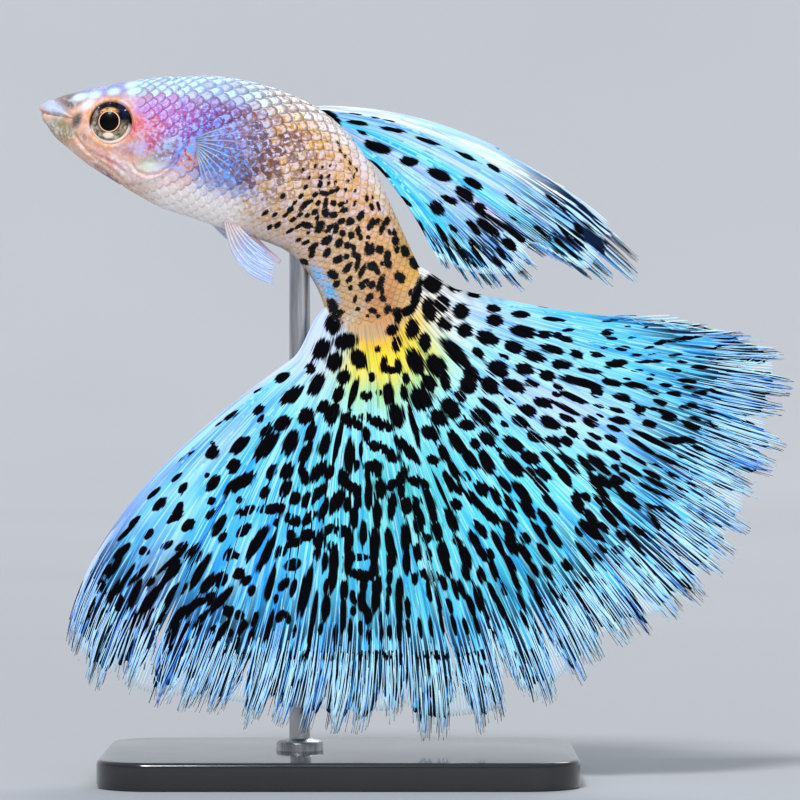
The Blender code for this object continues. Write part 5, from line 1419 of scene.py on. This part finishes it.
def fin_material(name, streaks, jagged):
    """Fin membrane and rays: ground colour, streaks along the rays, painted dark strands near the hem and
    black spots.
    """
    g = Graph(name)
    fan = g.uv("Fan")
    ground = g.data("Ground")
    black = g.data("Black", "Fac")
    ray = g.data("Ray", "Fac")
    along = g.parts(fan)[1]
    fine = g.noise(g.scaled(fan, streaks, 8.0), 1.0, 1.0)
    thin = g.noise(g.scaled(fan, streaks * 1.9, 4.0), 1.0, 0.0)
    coarse = g.noise(g.scaled(fan, streaks * 0.3, 3.0), 1.0, 2.0)
    deep = g.mix(1.0, ground, (0.55, 0.80, 1.0), "MULTIPLY")
    colour = g.mix(g.step(coarse, 0.52, 0.34, 0.7), ground, deep)
    ice = g.mix(g.step(along, 0.06, 0.22), ground, (0.68, 0.94, 1.0))
    colour = g.mix(g.step(coarse, 0.56, 0.74, 0.5), colour, ice)
    colour = g.mix(g.step(thin, 0.57, 0.66, 0.7), colour, ice)
    # Painted darkness near the hem: dark blue strands on the membrane stand for the dark seen through the
    # thin fin.
    outer = g.step(along, 0.54, 0.82)
    painted_dark_strand = g.step(fine, 0.61, 0.52)
    dark = g.product(painted_dark_strand, outer, g.step(ray, 0.3, 0.1))
    colour = g.mix(dark, colour, (0.05, 0.11, 0.22))
    tone = g.mix(g.step(ray, 0.33, 0.43), (0.03, 0.07, 0.15), (0.28, 0.60, 0.98))
    tone = g.mix(g.step(ray, 0.48, 0.64), tone, (0.82, 0.95, 1.0))
    share = g.product(g.step(ray, 0.0, 0.02), g.step(along, 0.66, 0.92, 0.85))
    colour = g.mix(share, colour, tone)
    teeth = g.swing(fine, jagged)
    cleared = g.product(ray, g.step(along, 0.72, 0.92), 4.0)
    ragged = g.less(g.total(black, 0.12, teeth), cleared)
    colour = g.mix(g.step(ragged, -0.35, 0.35), colour, INK)
    g.bump(fine, 0.04, 0.6)
    return g.finish(colour, 0.55, Specular_IOR_Level=0.03)


def fan_data(spots):
    """Ground colour and spots of the tail fin."""
    def data(u, v, points):
        x = points[..., 0]
        z = points[..., 2]
        rim = rise(u, 0.020, 0.006)[..., None]
        ground = fan_ground(x, z) * (1 - 0.8 * rim) + 0.8 * rim * linear((0.84, 0.86, 1.0))
        return {"Ground": ground, "Black": spots(x, z) - 4.0 * rise(u, 0.016, 0.004)}
    return data


def dorsal_data(spots):
    """Ground colour and spots of the back fin, with its white front edge."""
    def data(u, v, points):
        x = points[..., 0]
        z = points[..., 2]
        ground = layered(
            (0.55, 0.76, 0.94),
            (0.8 * bell(u - 0.33, 0.07), AQUA),
            (0.6 * bell(u - 0.22, 0.035) * rise(v, 0.1, 0.4), (0.88, 0.90, 0.98)),
            (0.8 * bell(u - 0.50, 0.05) * rise(v, 0.05, 0.2), LAVENDER),
            (0.7 * bell(u - 0.58, 0.03) * rise(v, 0.9, 0.4), (0.76, 0.80, 0.76)),
            (0.7 * bell(u - 0.46, 0.02) * rise(v, 0.5, 0.7), (0.93, 0.76, 0.90)),
            (0.9 * rise(u, 0.62, 0.80), (0.22, 0.78, 0.96)),
            (0.45 * rise(v, 0.70, 1.0), SKY),
            (rise(u, 0.12, 0.08), PEARL),
        )
        black = spots(x, z) - 9.0 * rise(u, 0.09, 0.06)
        return {"Ground": ground, "Black": black}
    return data


def clear_data(root, tip):
    """Ground colour of a clear fin, from its root to its tip."""
    def data(u, v, points):
        return {"Ground": layered(root, (rise(v, 0.05, 0.6), tip))}
    return data


def clear_material(name, opacity, fading):
    """Clear membrane with faint streaks, clearer towards the edge."""
    g = Graph(name)
    fan = g.uv("Fan")
    fine = g.noise(g.scaled(fan, 70.0, 3.0), 1.0, 2.0)
    ground = g.data("Ground")
    ray = g.data("Ray", "Fac")
    colour = g.mix(g.step(fine, 0.5, 0.7, 0.6), ground, PEARL)
    colour = g.mix(g.product(ray, 0.45), colour, PEARL)
    g.bump(fine, 0.04, 0.5)
    faded = g.step(g.parts(fan)[1], 0.05, 0.8, fading)
    alpha = g.product(opacity, g.less(1.0, faded))
    return g.finish(colour, 0.25, Coat_Weight=0.3, Coat_Roughness=0.1, Alpha=alpha)


RAY_SIDES = 5
FILAMENT_SIDES = 3
# How fine the streaks across a fin are, and how jagged the edges of its spots
FAN_STREAKS = (200.0, 2.4)
DORSAL_STREAKS = (90.0, 2.0)
# How opaque a clear fin is at its root, and the share of it that is lost towards the tip
CLEAR_MEMBRANE = (0.14, 0.75)
FAINT_RAYS = (0.6, 0.85)
MILKY_MEMBRANE = (0.4, 0.0)
BRIGHT_RAYS = (0.9, 0.0)
FAN_RAY_SEED = 11
FAN_SECTORS = ((0.0, 0.5), (0.5, 1.0))
FAN_MEMBRANE = (300, 155)
FAN_RAYS = 20
FAN_LEVELS = ((0.0, 0.22), (0.20, 0.42), (0.40, 0.64), (0.62, 0.82), (0.80, 0.94))
FAN_RADII = (0.14, 0.115, 0.095, 0.08, 0.06, 0.04)
FAN_TUFTS = 34
FAN_FILAMENTS = 1250


def build_tail_fin(material, spots):
    """The fan: membrane in two sectors, forking rays and a frayed hem."""
    rng = np.random.default_rng(FAN_RAY_SEED)
    tufts = Tufts(FAN_TUFTS, reach=0.945, longest=1.01, cleft=0.13, spread=0.035, seed=3)
    data = fan_data(spots)

    def half(u, v):
        """Half the membrane's thickness."""
        return 0.05 + 0.12 * rise(v, 0.14, 0.0) - 0.025 * rise(v, 0.6, 1.0)

    pieces = [sheet_piece(f"tail_fin_membrane_{number}", tail_fin_point, span, *FAN_MEMBRANE,
                          tufts.membrane, half, material, data)
              for number, span in enumerate(FAN_SECTORS)]
    rays = branching_tracks(FAN_RAYS, FAN_LEVELS, FAN_RADII, rng, bright=0.85, wander=0.15)
    pieces.append(tubes_piece("tail_fin_rays", tail_fin_point, rays, RAY_SIDES, material, data))
    fringe = tufts.filaments(FAN_FILAMENTS, start=0.9, radius=0.06, rng=rng)
    pieces.append(tubes_piece("tail_fin_fringe", tail_fin_point, [fringe], FILAMENT_SIDES, material, data))
    return pieces


DORSAL_RAY_SEED = 12
DORSAL_MEMBRANE = (260, 140)
DORSAL_RAYS = 13
DORSAL_TUFTS = 16
DORSAL_FILAMENTS = 420
DORSAL_LEVELS = ((0.0, 0.3), (0.28, 0.55), (0.53, 0.8), (0.78, 0.93))
DORSAL_RADII = (0.12, 0.10, 0.08, 0.06, 0.04)


def build_dorsal_fin(material, spots):
    """The back fin, whose front bundles of filaments reach furthest."""
    rng = np.random.default_rng(DORSAL_RAY_SEED)
    tufts = Tufts(DORSAL_TUFTS, reach=0.90, longest=1.02, cleft=0.14, spread=0.05, seed=4)
    tufts.top = tufts.top + 0.07 * bell(tufts.middle, 0.2)
    data = dorsal_data(spots)

    def half(u, v):
        """Half the membrane's thickness."""
        return 0.05 + 0.1 * rise(v, 0.14, 0.0) + 0.08 * rise(u, 0.06, 0.0)

    rays = branching_tracks(DORSAL_RAYS, DORSAL_LEVELS, DORSAL_RADII, rng, bright=0.85, wander=0.15)
    fringe = tufts.filaments(DORSAL_FILAMENTS, start=0.9, radius=0.06, rng=rng)
    return [sheet_piece("dorsal_fin_membrane", dorsal_fin_point, (0, 1), *DORSAL_MEMBRANE,
                        tufts.membrane, half, material, data),
            tubes_piece("dorsal_fin_rays", dorsal_fin_point, rays, RAY_SIDES, material, data),
            tubes_piece("dorsal_fin_fringe", dorsal_fin_point, [fringe], FILAMENT_SIDES, material, data)]


SMALL_MEMBRANE = (60, 36)
SMALL_LEVELS = ((0.0, 0.45), (0.42, 0.97))
# Rays, the radii along them and the seed of a pectoral and of a pelvic fin
PECTORAL_RAYS = (11, (0.07, 0.045, 0.02), 21)
PELVIC_RAYS = (6, (0.11, 0.075, 0.04), 31)


def build_small_fin(name, point, ray_plan, data, membrane_material, ray_material):
    """A clear fin of a few rays."""
    rays, radii, seed = ray_plan
    rng = np.random.default_rng(seed)
    tufts = Tufts(rays, reach=0.93, longest=1.0, cleft=0.1, spread=0.04, seed=seed)

    def half(u, v):
        """Half the membrane's thickness."""
        return 0.025 + 0.06 * rise(v, 0.25, 0.0)

    tracks = branching_tracks(rays, SMALL_LEVELS, radii, rng, bright=0.9, wander=0.05)
    fringe = tufts.filaments(rays * 3, start=0.75, radius=radii[-1], rng=rng, rows=9, layers=0.03)
    return [sheet_piece(name + "_membrane", point, (0, 1), *SMALL_MEMBRANE, tufts.membrane, half,
                        membrane_material, data),
            tubes_piece(name + "_rays", point, tracks + [fringe], RAY_SIDES, ray_material, data)]


def eye_material():
    """Black pupil in a copper ring, marbled iris and painted highlights (rim glints, cream spot, lower
    crescent), from the places on the iris.
    """
    g = Graph("guppy_eye")
    place = g.uv("Iris")
    x, y, _ = g.parts(place)
    away = g.vector("LENGTH", place)
    turn = g.math("ARCTAN2", y, x)
    polar = g.node("CombineXYZ", X=g.product(turn, 3.0), Y=g.product(away, 7.0), Z=0.0).outputs[0]
    threads = g.noise(polar, 1.3, 2.5)
    mottle = g.noise(place, 3.0, 3.0)
    colour = g.mix(g.step(mottle, 0.4, 0.7), (0.02, 0.03, 0.07), (0.10, 0.13, 0.24))
    ring = g.product(g.step(away, 0.50, 0.60), g.step(away, 0.93, 0.80))
    side = g.math("MAXIMUM", g.step(y, 0.15, -0.35), g.step(x, -0.45, -0.72, 0.8))
    marble = g.product(ring, g.product(side, g.step(threads, 0.18, 0.60)))
    colour = g.mix(g.product(marble, 0.85), colour, (0.66, 0.61, 0.50))
    bright = g.product(g.step(mottle, 0.44, 0.74), marble)
    colour = g.mix(bright, colour, (0.90, 0.86, 0.76))
    # Painted highlight: a bright cream spot just below the pupil.
    below = g.vector("LENGTH", g.scaled(g.vector("SUBTRACT", place, (-0.05, -0.64, 0.0)), 4.2, 8.0))
    colour = g.mix(g.step(below, 1.3, 0.7), colour, (1.0, 0.93, 0.86))
    above = g.product(g.step(away, 0.50, 0.56), g.step(away, 0.72, 0.58))
    above = g.product(above, g.step(g.math("ABSOLUTE", g.less(turn, 1.65)), 1.0, 0.4))
    colour = g.mix(g.product(above, g.step(threads, 0.25, 0.5)), colour, (0.96, 0.72, 0.40))
    # Painted highlights: a row of pale blue glints along the upper rim of the eye.
    dots = g.node("CombineXYZ", X=g.product(turn, 3.2), Y=0.5, Z=0.0).outputs[0]
    dots = g.voronoi(dots, 1.6, 0.7).outputs["Distance"]
    glints = g.product(g.step(away, 0.84, 0.88), g.step(away, 0.96, 0.91))
    glints = g.product(glints, g.step(dots, 0.28, 0.12))
    colour = g.mix(g.product(glints, g.step(y, 0.2, 0.5)), colour, (0.75, 0.84, 1.0))
    copper = g.product(g.step(away, 0.452, 0.468), g.step(away, 0.515, 0.495))
    colour = g.mix(copper, colour, (1.0, 0.74, 0.62))
    colour = g.mix(g.step(away, 0.455, 0.445), colour, (0.0, 0.0, 0.0))
    # Painted highlight: a white crescent along the lower edge of the eye.
    rim = g.product(g.step(away, 0.85, 0.90), g.step(y, 0.0, -0.35))
    colour = g.mix(rim, colour, (1.0, 1.0, 1.0))
    return g.finish(colour, 0.35, Coat_Weight=0.12, Coat_Roughness=0.05, Specular_IOR_Level=0.06)


def build_eye(name, side, material, rings=48, segments=72):
    """Flattened ball with a slightly raised lens, its axis out of the head."""
    tilt = np.linspace(0, math.pi, rings + 1)[1:-1]
    turn = np.arange(segments) * TAU / segments
    grid_tilt, grid_turn = np.meshgrid(tilt, turn, indexing="ij")
    away = np.sin(grid_tilt)
    depth = np.cos(grid_tilt) * EYE_HALF_THICKNESS
    depth = depth + np.where(grid_tilt < math.pi / 2, EYE_LENS * bell(away, 0.42), 0.0)
    x = away * np.cos(grid_turn)
    z = away * np.sin(grid_turn)
    radius = EYE_RADIUS + EYE_GROWTH
    local = np.stack((x * radius, -side * depth, z * radius), -1).reshape(-1, 3)
    poles = np.array(((0, -side * (EYE_HALF_THICKNESS + EYE_LENS), 0), (0, side * EYE_HALF_THICKNESS, 0)))
    local = np.concatenate((local, poles))
    turn_matrix = (Matrix.Rotation(math.radians(-side * EYE_FORWARD_TURN), 3, "Z")
                   @ Matrix.Rotation(math.radians(-side * EYE_UPWARD_TURN), 3, "X"))
    points = local @ np.array(turn_matrix).T + np.array((EYE_CENTRE[0], -side * EYE_ASIDE, EYE_CENTRE[1]))
    count = (rings - 1) * segments
    quads = grid_faces(rings - 1, segments, segments, closed=True)
    caps = fan_caps(rings - 1, segments, count, count + 1)
    if side < 0:
        quads = quads[:, ::-1]
        caps = caps[:, ::-1]
    iris = np.concatenate((np.stack((x, z), -1).reshape(-1, 2), ((0, 0), (0, 0))))
    back = np.concatenate((grid_tilt.ravel() > math.pi / 2, (False, True)))
    bake = np.stack((0.25 + 0.24 * iris[:, 0] + 0.5 * back, 0.5 + 0.48 * iris[:, 1]), -1)
    piece = new_piece(name, points, [quads, caps], material, None, {"Iris": iris, "OFBake": bake})
    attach(piece, "root")
    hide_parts("eye_l" if side > 0 else "eye_r")


def build_gonopodium(material):
    """The male's slender anal fin: a ridged rod that bends below the belly."""
    steps = GONOPODIUM_STEPS
    share = np.linspace(0, 1, steps)
    foot = flesh(np.array(GONOPODIUM_FOOT), np.array(math.pi), proud=-0.3)[0]
    bends = ((foot[0], foot[2]), GONOPODIUM_MIDDLE, GONOPODIUM_TIP)
    route = through([(i / 2, *p) for i, p in enumerate(bends)], share)
    radii = through([(i / 2, r) for i, r in enumerate(GONOPODIUM_RADII)], share)
    along = unit(np.gradient(route, axis=0))
    turn = np.arange(steps) * TAU / steps
    ridges = 1 + GONOPODIUM_RIDGES[1] * np.cos(GONOPODIUM_RIDGES[0] * turn)
    lift = radii[:, None] * np.cos(turn) * ridges
    points = np.stack((route[:, :1] - along[:, 1:] * lift, radii[:, None] * np.sin(turn) * ridges,
                       route[:, 1:] + along[:, :1] * lift), -1).reshape(-1, 3)
    walls = grid_faces(steps, steps, steps, closed=True)
    caps = np.stack((np.arange(steps)[::-1], (steps - 1) * steps + np.arange(steps)))
    u = np.tile(turn / TAU, steps)
    v = np.repeat(share, steps)
    data = clear_data(PEACH, LILAC)(u, v, points)
    data["Ray"] = 0.3 * np.ones(len(u))
    maps = {"Fan": np.stack((u, v), -1), "OFBake": np.stack((0.02 + 0.9 * u, 0.02 + 0.95 * v), -1)}
    return new_piece("gonopodium_ray", points, [walls, caps], material, None, maps, data)


def settle(pieces, nodes):
    """Every piece rides on the fish, and the parts that nodes names are hidden."""
    for piece in pieces:
        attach(piece, "root")
    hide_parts(*nodes)


def lathe(name, profile, centre, material, sides=64):
    """Turned piece about an upright axis, from (radius, height) pairs that start and end at radius 0."""
    profile = np.array(profile, float)
    turn = np.arange(sides) * TAU / sides
    inner = profile[1:-1]
    ring = np.stack((centre[0] + inner[:, :1] * np.cos(turn), centre[1] + inner[:, :1] * np.sin(turn),
                     np.repeat(inner[:, 1:], sides, axis=1)), -1).reshape(-1, 3)
    ends = np.array(((centre[0], centre[1], profile[0, 1]), (centre[0], centre[1], profile[-1, 1])))
    rows = len(inner)
    count = rows * sides
    quads = grid_faces(rows, sides, sides, closed=True)
    caps = fan_caps(rows, sides, count, count + 1)
    return new_piece(name, np.concatenate((ring, ends)), [quads, caps], material)


def stand_materials():
    """Polished black acrylic and brushed steel."""
    g = Graph("stand_acrylic")
    solid = g.node("TexCoord").outputs["Object"]
    dust = g.noise(solid, 900.0, 4.0, flat=False)
    wear = g.noise(solid, 160.0, 3.0, flat=False)
    colour = g.mix(g.step(dust, 0.6, 0.8, 0.25), (0.10, 0.10, 0.11), (0.20, 0.20, 0.21))
    rough = g.total(0.10, g.product(wear, 0.12))
    acrylic = g.finish(colour, rough, Coat_Weight=0.5, Coat_Roughness=0.04)
    g = Graph("stand_steel")
    solid = g.node("TexCoord").outputs["Object"]
    brushed = g.noise(g.scaled(solid, 2600.0, 2600.0, 160.0), 1.0, 3.0, flat=False)
    colour = g.mix(g.step(brushed, 0.3, 0.7), (0.60, 0.60, 0.61), (0.80, 0.80, 0.81))
    g.bump(brushed, 0.01, 0.4)
    steel = g.finish(colour, g.total(0.2, g.product(brushed, 0.22)), Metallic=1.0)
    return acrylic, steel


def base_block(material):
    """Rounded flat block with a soft upper edge."""
    length, width, height = BASE_SIZE
    layers = list(BASE_FOOT)
    for k in range(BASE_EDGE_STEPS + 1):
        angle = k / BASE_EDGE_STEPS * math.pi / 2
        layers.append((-BASE_EDGE * (1 - math.cos(angle)), height - BASE_EDGE + BASE_EDGE * math.sin(angle)))
    outline = []
    for quarter, (to_x, to_y) in enumerate(((1, 1), (-1, 1), (-1, -1), (1, -1))):
        cx = (length / 2 - BASE_CORNER) * to_x
        cy = (width / 2 - BASE_CORNER) * to_y
        for k in range(BASE_CORNER_STEPS + 1):
            angle = (quarter + k / BASE_CORNER_STEPS) * math.pi / 2
            outline.append((cx, cy, math.cos(angle), math.sin(angle)))
    outline = np.array(outline)
    n = len(outline)
    rows = [np.column_stack((outline[:, :2] + outline[:, 2:] * (BASE_CORNER + inset), np.full(n, z)))
            for inset, z in layers]
    walls = grid_faces(len(rows), n, n, closed=True)
    caps = np.stack((np.arange(n)[::-1], (len(rows) - 1) * n + np.arange(n)))
    base = new_piece("stand_base_block", np.concatenate(rows), [walls, caps], material)
    base.data.set_sharp_from_angle(angle=math.radians(BASE_SHARP_FROM))
    return base


def build_stand():
    """Flat base, and a rod in a collar up to the tail stalk."""
    acrylic, steel = stand_materials()
    height = BASE_SIZE[2]
    base = base_block(acrylic)
    _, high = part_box("stand_rod")
    foot = height - ROD_IN_BASE
    top = high.z / MM + ROD_IN_FISH
    rod_profile = ((0, foot), (ROD_RADIUS, foot), (ROD_RADIUS, top), (0, top))
    rod = lathe("stand_rod_steel", rod_profile, (ROD_X, 0.0), steel)
    collar_profile = [(radius, height + above) for radius, above in COLLAR]
    collar = lathe("stand_collar", collar_profile, (ROD_X, 0.0), steel)
    for piece in (rod, collar):
        piece.data.set_sharp_from_angle(angle=math.radians(ROD_SHARP_FROM))
    for piece, node, slot in ((base, "stand_base", "stand"), (rod, "stand_rod", "stand_rod"),
                              (collar, None, "stand_rod")):
        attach(piece, "root")
        if node:
            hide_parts(node)


def build_floor():
    """Plain pale floor that bends up behind the model."""
    g = Graph("studio_floor")
    solid = g.node("TexCoord").outputs["Object"]
    cloud = g.noise(solid, 3.0, 3.0, flat=False)
    colour = g.mix(g.step(cloud, 0.2, 0.8), (0.66, 0.67, 0.69), (0.69, 0.70, 0.72))
    material = g.finish(colour, 0.9)
    rows = [(FLOOR_RADIUS, 0)]
    for k in range(1, FLOOR_BEND_STEPS + 1):
        angle = k / FLOOR_BEND_STEPS * math.pi / 2
        rows.append((FLOOR_RADIUS + FLOOR_CURVE * math.sin(angle), FLOOR_CURVE * (1 - math.cos(angle))))
    rows.append((FLOOR_RADIUS + FLOOR_CURVE, FLOOR_HEIGHT))
    rows = np.array(rows)
    sides = FLOOR_SIDES
    turn = np.arange(sides) * TAU / sides
    points = np.stack((rows[:, :1] * np.cos(turn), rows[:, :1] * np.sin(turn),
                       np.repeat(rows[:, 1:], sides, 1)), -1)
    points = np.concatenate((points.reshape(-1, 3), ((0, 0, 0),)))
    quads = grid_faces(len(rows), sides, sides, closed=True)[:, ::-1]
    j = np.arange(sides)
    disc = np.stack((np.full_like(j, len(points) - 1), j, (j + 1) % sides), -1)
    floor = new_piece("floor", points, [quads, disc], material)
    floor.visible_shadow = False


def build_lights():
    """Even light from all round and three broad lamps."""
    world = bpy.data.worlds.new("studio")
    bpy.context.scene.world = world
    world.use_nodes = True
    background = world.node_tree.nodes["Background"]
    background.inputs[0].default_value = SKY_LIGHT
    background.inputs[1].default_value = SKY_STRENGTH
    for name, place, strength, width in SUNS:
        light = bpy.data.lights.new(name, "SUN")
        light.energy = strength
        light.angle = math.radians(width)
        lamp = bpy.data.objects.new(name, light)
        lamp.rotation_mode = "QUATERNION"
        lamp.rotation_quaternion = (-Vector(place)).to_track_quat("-Z", "Y")
        bpy.context.scene.collection.objects.link(lamp)


def build_camera():
    """Level camera at the fish's left side, with the photo's framing."""
    camera = bpy.data.cameras.new("camera")
    camera.lens = LENS
    camera.sensor_width = SENSOR
    camera.clip_start, camera.clip_end = CLIP
    holder = bpy.data.objects.new("camera", camera)
    holder.location = Vector((VIEW_CENTRE[0], -VIEW_DISTANCE, VIEW_CENTRE[1])) * MM
    holder.rotation_euler = (math.pi / 2, 0, 0)
    bpy.context.scene.collection.objects.link(holder)
    bpy.context.scene.camera = holder
    bpy.context.scene.view_settings.view_transform = "Standard"


def body_and_fan_spots():
    """All spots of the body and the tail fin, read with the function that it returns: black above 0."""
    grown = leopard(SIDE_AREA, SIDE_SIZES, side_recipe, SIDE_SEED)
    laid = (*ROOT_SPOTS, *drawn(FAN_DRAWING, FAN_SPOTS), *drawn(LEFT_DRAWING, LEFT_SPOTS),
            *drawn(RIGHT_DRAWING, RIGHT_SPOTS), *drawn(BODY_DRAWING, BODY_SPOTS))
    return lambda x, z: np.maximum(grown(x, z), laid_spots(laid, x, z))


def back_fin_spots():
    """All spots of the back fin, in the same way."""
    grown = leopard(DORSAL_AREA, DORSAL_SIZES, dorsal_recipe, DORSAL_SEED)
    return lambda x, z: np.maximum(grown(x, z), laid_spots(BACK_SPOTS, x, z))


def build_small_fins():
    """Pectoral and pelvic fins and the gonopodium."""
    clear = clear_material("clear_membrane", *CLEAR_MEMBRANE)
    faint = clear_material("faint_rays", *FAINT_RAYS)
    milky = clear_material("milky_membrane", *MILKY_MEMBRANE)
    bright = clear_material("bright_rays", *BRIGHT_RAYS)
    blue = clear_data((0.58, 0.72, 0.86), LAVENDER)
    for name, side in (("pectoral_fin_l", 1), ("pectoral_fin_r", -1)):
        fin = build_small_fin(name, pectoral_fin_point(side), PECTORAL_RAYS, blue, clear, faint)
        settle(fin, (name,))
    left = pelvic_fin_point(1, PELVIC_FOOT_LEFT, PELVIC_TIPS_LEFT, PELVIC_BOW_LEFT)
    right = pelvic_fin_point(-1, PELVIC_FOOT_RIGHT, PELVIC_TIPS_RIGHT, PELVIC_BOW_RIGHT)
    warm = clear_data((0.88, 0.76, 0.72), (0.62, 0.76, 1.0))
    for name, point in (("pelvic_fin_l", left), ("pelvic_fin_r", right)):
        settle(build_small_fin(name, point, PELVIC_RAYS, warm, milky, bright), (name,))
    settle([build_gonopodium(bright)], ("gonopodium",))


def main():
    build_camera()
    build_floor()
    build_lights()
    flesh_look = flesh_material()
    spots = body_and_fan_spots()
    coat = [build_skin(flesh_look, spots), build_scales(flesh_look, spots)]
    settle(coat, ("head", "trunk", "tail_stalk"))
    eye_look = eye_material()
    build_eye("eye_left", 1, eye_look)
    build_eye("eye_right", -1, eye_look)
    fan = build_tail_fin(fin_material("guppy_fin", *FAN_STREAKS), spots)
    settle(fan, ("tail_fin",))
    back_fin = build_dorsal_fin(fin_material("guppy_back_fin", *DORSAL_STREAKS), back_fin_spots())
    settle(back_fin, ("dorsal_fin",))
    build_small_fins()
    build_stand()


main()
